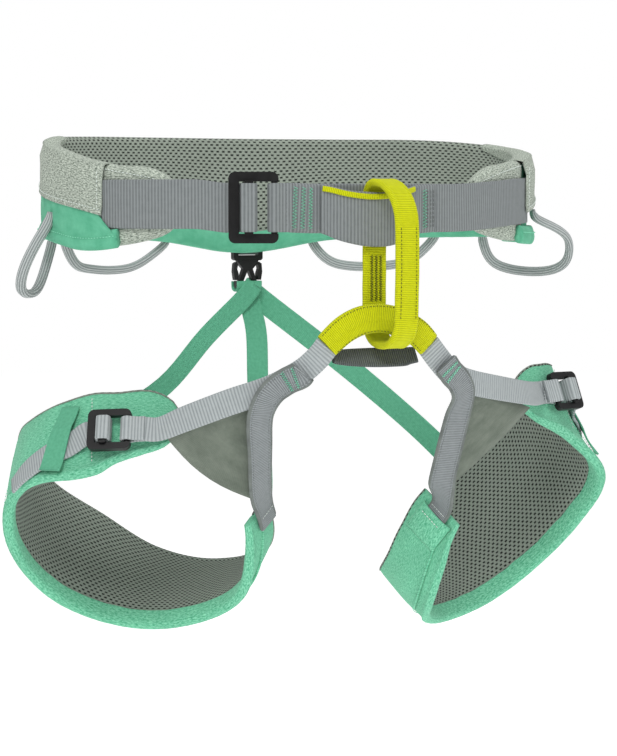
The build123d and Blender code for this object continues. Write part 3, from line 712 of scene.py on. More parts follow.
def belt_out(a, reach=9):
    """The outward direction of the belt at an angle."""
    return (waist_point(a, reach, 0) - waist_point(a, 0, 0)).normalized()


def belt_end(a):
    return max(0.0, min(1.0, min(a + 62, 227 - a) / 30))


def belt_outer(a):
    return 2.4 + 1.8 * belt_end(a)


def belt_inner(a):
    return -2.9 - 1.7 * belt_end(a)


stations = span(-62, 227, 2.0)
shell = grid("belt_shell", pad_rows(belt_point, stations, belt_edges, belt_outer, belt_inner, 0.5, 14.0),
             JADE_PLAIN, "waist", ["waist_foam", "waist_outer_shell"])
grid("belt_lining", lining_rows(belt_point, stations, belt_edges, belt_inner, belt_outer, 14.0),
     MESH_WAIST, "waist", ["waist_mesh_lining"])

for side, first, last in (("left", 203, 227.0), ("right", -38, -62.0)):
    ahead = 1 if last > first else -1

    def tongue_edges(a):
        high, low = belt_edges(a)
        left = min(9.0, abs(last - a) * 2.7)
        turn = 9.0 - math.sqrt(81 - (9.0 - left) ** 2)
        lift = 2.5 * math.exp(-((abs(last - a) - 8) / 6) ** 2)
        return high - lift + turn, low + 1.0 - turn

    places = span(first, last - ahead * 3.6, 1.5) + [last - ahead * d for d in (2.6, 1.7, 1.0, 0.45, 0.15, 0.0)]
    grid(f"{side}_belt_tongue",
         sleeve_rows(belt_point, places, tongue_edges, lambda a: belt_inner(a) - 1.0, belt_outer, 1.0),
         SAGE, "waist")
    edge = [(belt_point(a, belt_outer(a) + 1.2, belt_edges(a)[0] + 2.5), belt_out(a, 10))
            for a in span(first, last, 2)]
    stitches(f"{side}_tongue_stitches", [edge], 2.6, 1.7, 0.3, LIGHT_THREAD, "waist")

# grey covers with their diagonal lower edge and turned front edge
COVER_LOW = {"left": [(158, 12), (170, 7), (180, 2), (190, -2), (200, -6), (208, -10)],
             "right": [(-38, -9), (-30, -6), (-20, -2), (-10, 3), (2, 9), (12, 14)]}


def cover(side, first, last, start):
    def off(a):
        return 4.7 + 2.9 * min(1.0, abs(a - start) / 30)

    rows = []
    for a in span(first, last, 2.0):
        top, low = table(WAIST_PAD, a)[0], table(COVER_LOW[side], a)[0]
        o, sec = off(a), []
        for q in range(13):
            t = q / 12
            z = low + (top - 1.0 - low) * t
            fold = 0.5 * noise.noise(Vector((a * 0.16, z * 0.11, 7.7)))
            lean = -2.2 * max(0, t - 0.75) / 0.25
            sec.append((z, o + 1.3 + fold + lean + (0.5 if q < 2 else 0)))
        reach = o - belt_inner(a)
        for q in range(1, 7):
            t = math.radians(90 - 180 * q / 6)
            sec.append((top - 1 + 2.4 * math.cos(t), (o + belt_inner(a)) / 2 - 0.8
                        + (reach / 2 + 1.0) * math.sin(t)))
        flap = 0.3 + 1.5 * min(1.0, abs(a - start) / 25)
        for q in range(5):
            sec.append((top - 2 - flap * q, belt_inner(a) - 1.3 + 0.1 * q))
        back_side = [(z, d + 0.9) for z, d in sec[-5:]][::-1]
        back_side += [(z - 0.6, (o + belt_inner(a)) / 2 + (d - (o + belt_inner(a)) / 2) * 0.82)
                      for z, d in sec[13:19]][::-1]
        back_side += [(z, d - 1.0) for z, d in sec[:13]][::-1]
        rows.append([waist_point(a, d, z) for z, d in sec + back_side])
    grid(f"{side}_cover", rows, SAGE, "waist", [f"{side}_end_cover"])
    hem, front = [], []
    for a in span(first, last, 2.0):
        low = table(COVER_LOW[side], a)[0]
        hem.append((waist_point(a, off(a) + 1.95, low + 3.2), belt_out(a)))
    a = last - (1.2 if last > first else -1.2)
    for z in span(table(COVER_LOW[side], a)[0] + 3, table(WAIST_PAD, a)[0] - 3, 3):
        front.append((waist_point(a, off(a) + 1.75, z), belt_out(a)))
    stitches(f"{side}_cover_stitches", [hem, front], 2.6, 1.7, 0.28, LIGHT_THREAD, "waist")


cover("left", 158, 208, 158)
cover("right", 12, -38, 12)

# cloth flap between the left cover and the hem, over the start of the webbing
def flap_rows():
    rows = []
    for a in span(164, 212.5, 1.5):
        low = table(WAIST_PAD, a)[1] + 2.0
        high = table(COVER_LOW["left"], min(a, 208))[0] + 3.0
        if a > 206:
            high -= (high - low - 1.0) * ((a - 206) / 6.5) ** 0.9
        o = 5.0 + 2.5 * min(1.0, max(0.0, (a - 160) / 30))
        sec = [(low + (high - low) * q / 10, o + 0.9 + 0.35 * noise.noise(Vector((a * 0.2, q * 0.5, 12.0))))
               for q in range(11)]
        rows.append([waist_point(a, d, z) for z, d in sec + [(z, d - 0.9) for z, d in sec[::-1]]])
    return rows


grid("left_side_flap", flap_rows(), JADE_PLAIN, "waist")

# rolled hems under the ends of the shell
for side, first, last in (("left", 168, 212), ("right", 6, -42)):
    rows, seam = [], []
    for a in span(first, last, 1.5):
        bottom = table(WAIST_PAD, a)[1]
        share = (a - first) / (last - first)
        swell = 0.5 * noise.noise(Vector((a * 0.25, 2.0, 4.0)))
        high, low = bottom + 7.5 + 1.0 * share, bottom - 3.4 - 1.2 * math.sin(math.pi * share)
        cz, cd, rz, rd = (high + low) / 2, 6.3, (high - low) / 2, 2.9 + swell * 0.8
        sec = []
        for q in range(18):
            t = 2 * math.pi * q / 18
            pinch = 1 - 0.3 * max(0, math.cos(t - 0.3))
            sec.append((cz + rz * math.cos(t), cd + rd * pinch * math.sin(t)))
        rows.append([waist_point(a, d, z) for z, d in sec])
        seam.append((waist_point(a, cd + rd * 0.95 + 0.1, cz + rz * 0.25), belt_out(a)))
    grid(f"{side}_rolled_hem", rows, JADE_PLAIN, "waist", [f"{side}_shell_hem"])
    stitches(f"{side}_hem_stitches", [seam], 2.4, 1.5, 0.28, GREEN_THREAD, "waist")


# ---------------------------------------------------------------- buckles
def rounded_path(path, per_span=5):
    return smooth_rows([list(p) for p in path], per_span)


def ribbon_rows(place, path, width, thick):
    """Sections of a strap that follows a path in the buckle's own x-z plane."""
    along, across, out, origin = place
    points = [origin + along * x + out * z for x, z in path]
    rows = []
    for i, p in enumerate(points):
        run = run_at(points, i)
        normal = run.cross(across)
        rows.append([p + across * x + normal * y for x, y in flat_section(width, thick)])
    return rows


def buckle_webbing(name, place, web, body_fold, body_wrap, look, fold_node):
    """The fold over the slider and the sewn wrap round the bar.

    Gives where the adjusting tail starts and where the sewn side ends, along the webbing."""
    bar_x = web * 0.12 + 9.0
    left_x = -bar_x - 2.5
    left_bar = 4.6 if web < 20 else 6.4
    slot_x = left_x + left_bar
    bar0 = slot_x + 3.2
    bar1 = bar0 + (4.2 if web < 20 else 5.4)
    path = [(slot_x - 1.6, -3.5), (bar0 - 3.1, -3.5), (bar0 - 1.6, -2.2), (bar0 - 1.3, 0.6), (bar0 - 1.3, 4.0),
            (bar0 - 0.2, 5.7), (bar1 + 0.2, 5.7), (bar1 + 1.4, 4.2), (bar1 + 1.5, 1.0),
            (bar1 + 1.3, -2.8), (bar1 + 0.0, -5.0), (bar1 - 2.4, -5.8), (slot_x - 1.6, -5.9)]
    grid(f"{name}_folded_webbing", ribbon_rows(place, rounded_path(path), web - 0.6, 1.9),
         look, body_fold, [fold_node])
    far = bar_x + 10.0
    turn = [(bar_x + 3.3 * math.cos(math.radians(k)), 3.3 * math.sin(math.radians(k)))
            for k in range(65, 296, 23)]
    above = [(far + 1, 1.15), (bar_x + 6, 1.35), (bar_x + 3.6, 2.1)]
    wrap = above + turn + [(x, -z) for x, z in above[::-1]]
    grid(f"{name}_sewn_wrap", ribbon_rows(place, rounded_path(wrap, 4), web - 0.4, 2.0), look, body_wrap)
    return slot_x - 1.9, far


def dress(name, material, soft=0.0, limit=30):
    """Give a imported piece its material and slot, and edges rounded by so many millimetres."""
    obj = nodes[name]
    obj.data.materials.clear()
    obj.data.materials.append(material)
    if soft:
        bevel = obj.modifiers.new("soft_edges", "BEVEL")
        bevel.width, bevel.segments, bevel.limit_method = soft * MM, 3, "ANGLE"
        bevel.angle_limit = math.radians(limit)
    return obj


def buckle_metal(*names):
    for name in names:
        for poly in dress(name, BLACK, 0.7, 35).data.polygons:
            poly.use_smooth = True


def place_of(origin, along, outward):
    return along, outward.cross(along), outward, origin


angle = 244.4
origin = waist_point(angle, 9.5, -5.0)
along = (waist_point(angle + 1, 9.5, 0) - waist_point(angle - 1, 9.5, 0)).normalized()
outward = along.cross(UP)
waist_place = place_of(origin, along, outward)
tail_x, far = buckle_webbing("waist", waist_place, 30.0, "waist_buckle", "waist", GREY_WEB,
                            "waist_webbing_fold")
buckle_metal("waist_buckle_frame", "waist_buckle_slider")


def waist_local(x, z):
    return origin + along * x + outward * z


def row(point, across, *more):
    return [point.x, point.y, point.z, across.x, across.y, across.z, *more]


rows = [row(waist_point(a, 6.1, -3.0), UP) for a in (204, 208, 214, 220, 226, 232)]
rows += [row(waist_local(tail_x - 8, -3.6), UP), row(waist_local(tail_x - 3, -3.6), UP)]
strap("belt_webbing_left", rows, 30, 2.2, GREY_WEB, "waist", ["waist_webbing_left"],
      upright=True)
rows = [row(waist_local(far - 0.6, 0), UP)]
rows += [row(waist_point(a, off, -5.5), UP) for a, off in ((256, 8.6), (259, 8.0), (260.5, 7.2))]
sewn_frames = strap("belt_webbing_sewn", rows, 30, 4.4, GREY_WEB, "waist")[1]
rows = [row(waist_point(a, off, z), UP) for a, off, z in (
    (258.5, 7.6, -5.5), (262, 6.6, -5.5), (266, 6.1, -5.5), (272, 6.1, -5.5), (278, 6.1, -5.5),
    (284, 6.1, -5.5), (290, 6.1, -5.5), (296, 6.1, -5), (302, 6.1, -4), (308, 6.1, -3),
    (314, 6.1, -2), (320, 6.1, -1.5), (325, 6.1, -1))]
strap("belt_webbing_right", rows, 30, 2.2, GREY_WEB, "waist", ["waist_webbing_right"])

# ---------------------------------------------------------------- tie-in loop and wear strip
rows = [row(waist_point(a, off, z), UP, wide) for a, off, z, wide in (
    (258.2, 12.3, -5.8, 29.5), (259.4, 13.2, -6.6, 30.5), (261, 15.6, -8.4, 31.5), (263.5, 18.6, -10.5, 32),
    (267, 20.4, -12, 33), (271, 20.0, -12, 33), (274.5, 16.8, -10.5, 32), (277.5, 12.2, -8, 31),
    (280, 8.9, -6.4, 30), (284.5, 8.7, -5.6, 29.5))]
tie_frames = strap("upper_tie_in", rows, 30, 2.6, GREY_WEB, "waist", ["upper_tie_in_loop"],
                   upright=True)[1]
rows = [row(waist_point(a, off, z), UP) for a, off, z in (
    (258.4, 14.2, 6.5), (260, 16.6, 5.6), (263, 20.4, 3.2), (267, 22.6, 1.6), (271, 22.2, 2.0),
    (274.5, 19.0, 3.6), (277.5, 14.4, 5.4), (278.6, 12.6, 6.2))]
strap("yellow_wear_strip", rows, 3.4, 1.5, YELLOW, "waist", ["tie_in_wear_strip"])


def strap_zigzags(name, frames, width, shares, lift, look, body, reach=0.86, swing=0.022, pitch=1.7):
    """Columns of zigzag thread across a strap, at shares of its length."""
    lines = []
    for share in shares:
        count = int(width * reach / pitch * 2)
        lines.append([on_strap(frames, share + (swing if k % 2 else -swing),
                               -reach + 2 * reach * k / count, lift, width) for k in range(count + 1)])
    return tube(name, lines, 0.4, look, body, 5)


def along_strap(frames, width, v, lift, first=0.02, last=0.98, count=60):
    """Points along a strap at a place across it, with the way off its face."""
    line = []
    for k in range(count + 1):
        share = first + (last - first) * k / count
        p = on_strap(frames, share, v, lift, width)
        line.append((p, (on_strap(frames, share, v, lift + 1, width) - p).normalized()))
    return line


def across_strap(frames, width, share, lift, reach=0.85, count=8):
    """Points across a strap at a share of its length, with the way off its face."""
    middle = on_strap(frames, share, 0, lift, width)
    out = (on_strap(frames, share, 0, lift + 1, width) - middle).normalized()
    return [(on_strap(frames, share, -reach + 2 * reach * k / count, lift, width), out)
            for k in range(count + 1)]


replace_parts(strap_zigzags("waist_zigzags_green", sewn_frames, 30, (0.06, 0.20, 0.34), 2.35, GREEN_THREAD,
                          "waist", 0.84, 0.034, 1.9), "waist_bartack_left")
grey_column = [(waist_local(20.0, 1.9) + UP * z, outward) for z in span(12.5, -12.5, 3)]
stitches("waist_stitches_grey", [grey_column], 2.6, 2.0, 0.35, GREY_THREAD, "waist")
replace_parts(strap_zigzags("tie_in_zigzag_green", tie_frames, 30, (0.935,), 1.5, GREEN_THREAD,
                          "waist", 0.8, 0.012, 1.9), "waist_bartack_right")
stitches("tie_in_stitches_grey", [across_strap(tie_frames, 30, s, 1.45) for s in (0.955, 0.972, 0.988)],
         2.6, 2.0, 0.3, GREY_THREAD, "waist")
stitches("tie_in_edge_stitches", [along_strap(tie_frames, 30, 0.86, 1.4, 0.1, 0.9)], 2.4, 1.6, 0.25,
         GREY_THREAD, "waist")

# ---------------------------------------------------------------- belay loop
rear, front = Vector((-5, -119.2, 0)), Vector((0, -153, 0))
depth = (front - rear).length
inward = (front - rear).normalized()
sideways = inward.cross(UP)


def loop_path():
    """The rounded loop in its own plane: pairs of depth and height, with normals."""
    top, low = 10.4, -88.0
    corners = [((0, low), 15, 180), ((depth, low), 15, 270), ((depth, top), 25, 0), ((0, top), 8.5, 90)]
    out = []
    for (x, z), r, start in corners:
        cx = x + (r if x == 0 else -r)
        cz = z + (r if z == low else -r)
        for k in range(9):
            t = math.radians(start + 90 * k / 8)
            out.append((cx + r * math.cos(t), cz + r * math.sin(t), math.cos(t), math.sin(t)))
    dense = []
    for i, a in enumerate(out):
        b = out[(i + 1) % len(out)]
        gap = math.hypot(b[0] - a[0], b[1] - a[1])
        n = max(1, int(gap / 3))
        for k in range(n):
            f = k / n
            dense.append(tuple(p + (q - p) * f for p, q in zip(a, b)))
    return dense


def bow(z):
    """How far the front strand bends forward at a height."""
    return 1.8 * math.sin(math.pi * (z + 88) / 98.4)


rows = []
path = loop_path()
for x, z, nx, nz in path + path[:1]:
    centre = rear + inward * (x + bow(z) * (x / depth) ** 4) + UP * z
    out = (inward * nx + UP * nz).normalized()
    wobble = 0.25 * noise.noise(Vector((x * 0.1, z * 0.08, 2.0)))
    sec = []
    for q, (a, b) in enumerate(flat_section(16.5, 4.0, 14)):
        share = abs(a) / 8.25
        ridge = math.exp(-((share - 0.82) / 0.1) ** 2)
        groove = math.exp(-((share - 0.62) / 0.07) ** 2)
        edge = 1.0 + 0.16 * ridge - 0.16 * groove
        sec.append(centre + sideways * (a + wobble) + out * (b * edge))
    rows.append(sec)
grid("belay_loop", rows, YELLOW, "belay_loop", ["belay_loop_webbing"], capped=False)
columns = []
for face_off in (-2.25, 2.35):
    for d in (-3.2, 0.0, 3.2):
        columns.append([rear + inward * face_off + sideways * (d + (0.9 if k % 2 else -0.9))
                        + UP * (-34 - 28 * k / 38) for k in range(39)])
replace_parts(tube("belay_loop_stitching", columns, 0.36, DARK_THREAD, "belay_loop", 5),
            "belay_loop_bartack")
seam_lines = []
for d in (-5.4, 5.4):
    for x, sign in ((0, -1), (depth, 1)):
        seam_lines.append([(rear + inward * (x + sign * 2.15 + (bow(z) if x else 0)) + sideways * d + UP * z,
                            inward * sign) for z in span(-72, -16 if x else -4, 4)])
stitches("belay_loop_seams", seam_lines, 2.3, 1.5, 0.22, DARK_THREAD, "belay_loop")

# ---------------------------------------------------------------- lower tie-in sleeve and crosspiece
sleeve = smooth_rows([(-42.2, -132, -87.6, 16.5), (-38, -132.6, -83.5, 17.2), (-31, -134, -77.5, 17.8),
                      (-22, -135.4, -73, 17.8), (-12, -136, -71.5, 17.5), (-2, -136, -72.5, 17.5),
                      (8, -135, -76, 17.8), (18, -133.6, -81.5, 17.2), (25.6, -132, -88.5, 16.5)], 6)
points = [Vector(r[:3]) for r in sleeve]
rows, sleeve_frames = [], []
for i, r in enumerate(sleeve):
    run = run_at(points, i)
    out = square_to(run, Vector((0, -1, 0)))
    across = run.cross(out)
    sleeve_frames.append((points[i], across, out, r[3]))
    sec = []
    mouth = min(i, len(sleeve) - 1 - i)
    for x, y in flat_section(r[3], 4.8, 14):
        s = x / (r[3] / 2)
        crease = -0.55 * math.exp(-((s - 0.2) / 0.09) ** 2) - 0.3 * math.exp(-((s + 0.55) / 0.1) ** 2)
        full = 1 + 0.22 * math.cos(s * math.pi / 2) - (0.18 if mouth == 0 else 0)
        ripple = 0.18 * noise.noise(Vector((i * 0.9, x * 0.35, 6.0)))
        sec.append(points[i] + across * x + out * (y * full + (crease if y > 0 else 0) + ripple))
    rows.append(sec)
grid("lower_tie_in", rows, YELLOW, "waist", ["lower_tie_in_sleeve"])
edge_lines = [along_strap(sleeve_frames, 17, v, 2.35, 0.02, 0.98) for v in (-0.86, 0.86)]
stitches("sleeve_stitches", edge_lines, 2.2, 1.4, 0.22, DARK_THREAD, "waist")
tilt = Vector((0, 0.55, 0.83))
rows = [row(Vector((x, y, z)), tilt, w) for x, y, z, w in (
    (-37, -128.2, -94.4, 9), (-33, -127, -95.1, 10), (-24, -126, -95.5, 12), (-8, -125.4, -96, 13.5),
    (10, -125.4, -96, 13.5), (15, -125.7, -95.6, 12), (20, -126.4, -95.0, 11))]
# the crosspiece's darker webbing colour is painted shade from the sleeve and belay loop above it
strap("crosspiece", rows, 15, 2.2, SHADED_GREY_WEB, "waist", ["leg_crosspiece"])

# ---------------------------------------------------------------- gear loops
GEAR = {
    "front_left": ((187, 8.6, -10), (153, 8.2, -26), [
        (-182, 4, -26), (-191, 5, -44), (-191, 13, -57), (-182, 24, -61), (-172, 36, -56)]),
    "rear_left": ((146, 8.2, -24), (109, 8.2, -27), [
        (-135, 80, -44), (-122, 88, -47.5), (-104, 95, -49), (-84, 101, -46)]),
    "rear_right": ((72, 8.2, -27), (36, 8.2, -23), [
        (63, 107, -45), (82, 103, -49), (104, 97, -48.5), (122, 90, -44)]),
    "front_right": ((19, 8.2, -24), (-17, 8.6, -9), [
        (166, 54, -44), (176, 46, -50), (189, 33, -52), (199, 18, -50), (203, 6, -42),
        (194, -6, -25)]),
}
for name, (start, end, middle) in GEAR.items():
    a, b = waist_point(*start), waist_point(*end)
    lead = Vector((0, 0, -3))
    line = [a - lead * 0.6, a + lead] + [Vector(p) for p in middle] + [b + lead, b - lead * 0.6]
    line = evenly([Vector(r) for r in smooth_rows([list(p) for p in line], 9)], 2.6)
    for _ in range(8):
        line[1:-1] = [(p + q * 2 + r) * 0.25 for p, q, r in zip(line[:-2], line[1:-1], line[2:])]
    side, rows = (line[1] - line[0]).cross(Vector((0.3, 0.9, 0.2))).normalized(), []
    for i, p in enumerate(line):
        run = run_at(line, i)
        side = square_to(run, side)
        over = run.cross(side)
        close = min(1.0, 0.62 + 0.38 * min(i, len(line) - 1 - i) / 3)
        sec = []
        for q in range(28):
            t = 2 * math.pi * q / 28
            r = 3.15 + 0.13 * math.cos(7 * t)
            sec.append(p + (side * (r * 1.06 * math.cos(t)) + over * (r * 0.86 * math.sin(t))) * close)
        rows.append(sec)
    grid(f"gear_loop_cord_{name}", rows, CORD, f"gear_{name}", [f"gear_loop_{name}"])
    tab_cloth = plain_weave(f"tab_cloth_{name}", (0.12, 0.45, 0.29), (0.17, 0.56, 0.36), 0.7, False)
    dress(f"gear_tabs_{name}", tab_cloth, 0.8)

# ---------------------------------------------------------------- rear clip
CLIP_Y = 115.0
for name in ("clip_receiver", "clip_body", "clip_left_arm", "clip_right_arm"):
    dress(name, PLASTIC, 0.6)
dress("clip_keeper_webbing", plain_weave("clip_webbing", (0.06, 0.07, 0.07), (0.13, 0.15, 0.15), 0.8, False))


# ---------------------------------------------------------------- risers
def riser_end(side, angle, gap):
    hip = table(LEG_PAD[side], angle)[0] - gap
    edge = leg_point(side, angle + 2, LEG_R, hip) - leg_point(side, angle - 2, LEG_R, hip)
    return row(leg_point(side, angle, LEG_R, hip), edge.normalized())


def riser(name, rows, width, node_name):
    obj = strap(name, rows, width, 1.4, ELASTIC, None, [node_name], 6)[0]
    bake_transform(obj)


riser("riser_strap_left", [
    [7, CLIP_Y - 3.9, -60.5, -0.69, 0, 0.72], [-2, 109, -71, -0.69, 0, 0.72],
    [-33, 102, -97, -0.69, 0, 0.72], [-66, 97, -130, -0.69, 0, 0.72],
    [-112, 94, -157, -0.6, 0.1, 0.75], riser_end("left", -20, -4)], 14, "riser_left")
riser("riser_strap_centre", [
    [4, CLIP_Y + 3.9, -60.5, 1, 0, 0], [4.2, CLIP_Y + 3.7, -65.5, 1, 0, 0],
    [5, 112.5, -77, 1, 0, 0], [6, 104, -97, 1, 0, 0],
    [-1, 84, -131, 1, 0.1, 0], [-13, 48, -170, 0.95, 0.3, 0], [-26, 14, -196, 0.8, 0.5, 0.1],
    riser_end("left", -158, -4)], 16, "riser_centre")
riser("riser_strap_right", [
    [3, CLIP_Y + 7.0, -60.5, 0.63, 0, 0.77], [15, 119, -72, 0.63, 0, 0.77],
    [76, 104, -121, 0.63, 0, 0.77], [128, 94, -166, 0.6, 0, 0.77],
    riser_end("right", -27, -4)], 16, "riser_right")
# the elastics fold round the clip's bottom bar
for name, x, width, y0, y1 in (("left", 7, 12, -3.6, 3.9), ("right", 0, 13, -4.4, 6.4)):
    turn = [(y0, -58.5), (y0 - 0.2, -61), (y0 + 0.8, -64.2), ((y0 + y1) / 2, -65.6),
            (y1 - 0.8, -64.2), (y1, -61), (y1, -59)]
    rows = [[x, CLIP_Y + y, z, 1, 0, 0] for y, z in turn]
    strap(f"clip_fold_{name}", rows, width, 1.3, ELASTIC, "waist")


# ---------------------------------------------------------------- leg loops
def leg_loop(side):
    pad = LEG_PAD[side]
    first, last = pad[-1][0], pad[0][0]
    body = f"{side}_leg"

    def edges(a):
        return table(pad, a)

    def near(a):
        return max(0.0, min(1.0, min(a - first, last - a) / 30))

    def outer(a):
        return 2.0 + 1.4 * near(a)

    def inner(a):
        return -2.2 - 1.4 * near(a)

    def point(a, off, s):
        return leg_point(side, a, LEG_R + off, s)

    def out_at(a, s):
        return (point(a, 9, s) - point(a, 0, s)).normalized()

    shell_r = LEG_R + 3.4
    stations = span(first, last, 2.5)
    shell = grid(f"{side}_leg_pad", pad_rows(point, stations, edges, outer, inner, 0.45, 12.0, 1.0),
                 JADE, body, [f"{side}_leg_foam", f"{side}_leg_outer_shell"])
    grid(f"{side}_leg_lining", lining_rows(point, stations, edges, inner, outer, 12.0),
         MESH_LEG, body, [f"{side}_leg_mesh_lining"])

    # seam lines of the shell
    def surface_line(places, lift=0.25):
        return [(point(a, outer(a) + lift, s), out_at(a, s)) for a, s in places]

    rim_seam = [(a, edges(a)[1] - 12) for a in span(first + 4, last - 8, 3)
                if edges(a)[1] - edges(a)[0] > 30]
    stitches(f"{side}_rim_stitches", [surface_line(rim_seam, 0.2)], 2.7, 1.7, 0.27, GREEN_THREAD,
             body)
    panel = 78 if side == "left" else 62
    top_edge, low_edge = edges(panel)
    panel_seam = [(panel, s) for s in span(top_edge + 4, low_edge - 5, 4)]
    stitches(f"{side}_panel_stitches", [surface_line(panel_seam, 0.5)], 2.4, 1.5, 0.28, LIGHT_THREAD,
             body)

    # raised fold beside the knee edge, and the pocket over the end of the inner webbing
    fold = [point(a, outer(a) + 0.35, edges(a)[1] - 10.5) for a in span(first + 3, first + 62, 2.5)]
    tube(f"{side}_edge_fold", [fold], 0.95, JADE, body, 8)
    if side == "right":
        pocket = []
        for a in span(-190.5, -176, 1.2):
            section = []
            for q in range(15):
                t = q / 14
                swell = math.sin(math.pi * t) ** 0.5 * min(1.0, (-176 - a) / 6)
                section.append((3.0 + 27 * t, outer(a) + 0.5 + 3.6 * swell))
            pocket.append([point(a, d, s) for s, d in section + [(s, d - 1.1) for s, d in section[::-1]]])
        grid("right_webbing_pocket", pocket, JADE, body)
        stitches("right_pocket_stitches", [[(point(-187.6, outer(-187.6) + 4.25, s), out_at(-187.6, s))
                                            for s in span(7, 26, 2.5)]], 2.4, 1.6, 0.28, LIGHT_THREAD,
                 body)

    # buckle and its webbing
    angle, w = BUCKLE_ANGLE[side], STRAP_W[side]
    r = shell_r + (7.6 if side == "left" else 12.0)
    origin = leg_point(side, angle, r, w)
    along = (leg_point(side, angle + 1, r, w) - leg_point(side, angle - 1, r, w)).normalized()
    face = leg_across(side, angle, w)
    outward = face.cross(along).normalized()
    if outward.dot(leg_point(side, angle, r + 1, w) - origin) < 0:
        outward = -outward
    if side == "right":
        origin = origin + Vector((-3, 0, -2))
        along = Vector((-0.93, -0.37, 0.03)).normalized()
        outward = square_to(along, Vector((0.35, -0.85, 0.38)))
        face = outward.cross(along)
    tail_x, far = buckle_webbing(side, place_of(origin, along, outward), 16.0, f"{side}_leg_buckle", body,
                                LEG_WEB, f"{side}_webbing_fold")
    buckle_metal(f"{side}_buckle_frame", f"{side}_buckle_slider")

    def local(x, z):
        return origin + along * x + outward * z

    # outer branch
    rows = [row(local(far - 0.5, 0), face), row(local(far + (10 if side == "left" else 5), -1.0), face)]
    if side == "left":
        rows += [[-118, -93, -132, 0.05, -0.35, -0.93], [-95, -108, -121.5, 0.2, -0.25, -0.94],
                 [-76.5, -118, -114.5, 0.3, -0.15, -0.94], [-64, -124, -108, 0.4, -0.1, -0.9],
                 [-54.5, -128, -101.5, 0.6, 0, -0.8], [-47, -131, -94, 0.7, 0, -0.7],
                 [-42.0, -132, -87.6, 0.75, 0, -0.66]]
    else:
        rows += [[119, -93, -125.5, -0.05, -0.35, -0.93], [91, -110, -120.3, -0.1, -0.25, -0.95],
                 [64, -121, -114.8, -0.15, -0.15, -0.95], [50, -125.5, -110.5, -0.4, -0.1, -0.9],
                 [41, -128.5, -105, -0.6, 0, -0.8], [33, -131, -97.5, -0.7, 0, -0.7],
                 [26, -132, -89.3, -0.7, 0, -0.7]]
    branch_frames = strap(f"{side}_outer_branch", rows, 16, 2.2, LEG_WEB, body,
                          [f"{side}_outer_webbing"], 6)[1]
    stitches(f"{side}_wrap_stitches", [across_strap(branch_frames, 16, s, 1.25) for s in (0.012, 0.028)],
             2.0, 1.4, 0.25, GREY_THREAD, body)

    # inner branch
    end_angle, end_w = (-184, 21) if side == "left" else (-186, 16)
    last_point = leg_point(side, end_angle, shell_r + 1.2, end_w)
    before = leg_point(side, end_angle - 9, shell_r + 1.6, end_w)
    end_across = -leg_across(side, end_angle, end_w)
    if side == "left":
        rows = [[-57.5, -131.6, -103, 0.5, 0, -0.86], [-59.5, -131.2, -105, 0.5, 0, -0.86],
                [-67, -128.6, -108.5, 0.6, 0, -0.8],
                [-75.5, -124, -116.5, 0.86, 0, -0.5], [-78.2, -114.5, -131, 0.98, 0.1, -0.1],
                [-72.5, -100, -153.5, 0.97, 0.2, 0.1], [-66, -84.5, -179, 0.93, 0.25, 0.25],
                row(before, end_across), row(last_point, end_across)]
    else:
        rows = [[36, -135, -100.5, -0.65, 0, -0.75], [41, -133.6, -106.5, -0.6, 0, -0.8],
                [47, -131.8, -112, -0.7, 0, -0.7],
                [52.5, -127, -121, -0.9, 0, -0.4], [54, -116.5, -135, -1, 0.1, 0],
                [54.5, -105, -156, -0.95, 0.1, 0.25], [55, -93, -180, -0.85, 0.1, 0.45],
                row(before, end_across), row(last_point, end_across)]
    inner_frames = strap(f"{side}_inner_branch", rows, 16, 2.2, INNER_WEB, body,
                         [f"{side}_inner_webbing"], 6)[1]
    out_sign = 1 if inner_frames[20][2].y < 0 else -1
    for v in (-0.93, 0.93):
        edge = [on_strap(inner_frames, k / 60, v, 0, 16) for k in range(61)]
        tube(f"{side}_inner_binding_{'a' if v < 0 else 'b'}", [edge], 1.25, GREY_BIND, body, 8)
    stitches(f"{side}_inner_stitches",
             [along_strap(inner_frames, 16, v, out_sign * 1.15, 0.04, 0.93) for v in (-0.72, 0.72)],
             2.3, 1.5, 0.22, GREY_THREAD, body)
    stitches(f"{side}_inner_end_stitches", [across_strap(inner_frames, 16, 0.905, out_sign * 1.2)],
             2.2, 1.6, 0.28, LIGHT_THREAD, body)
    shares = (0.175, 0.245) if side == "left" else (0.07, 0.14)
    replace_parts(strap_zigzags(f"{side}_fork_zigzags", inner_frames, 16, shares, out_sign * 1.3, GREEN_THREAD,
                              body, 0.85, 0.012, 1.5), f"{side}_leg_bartack")

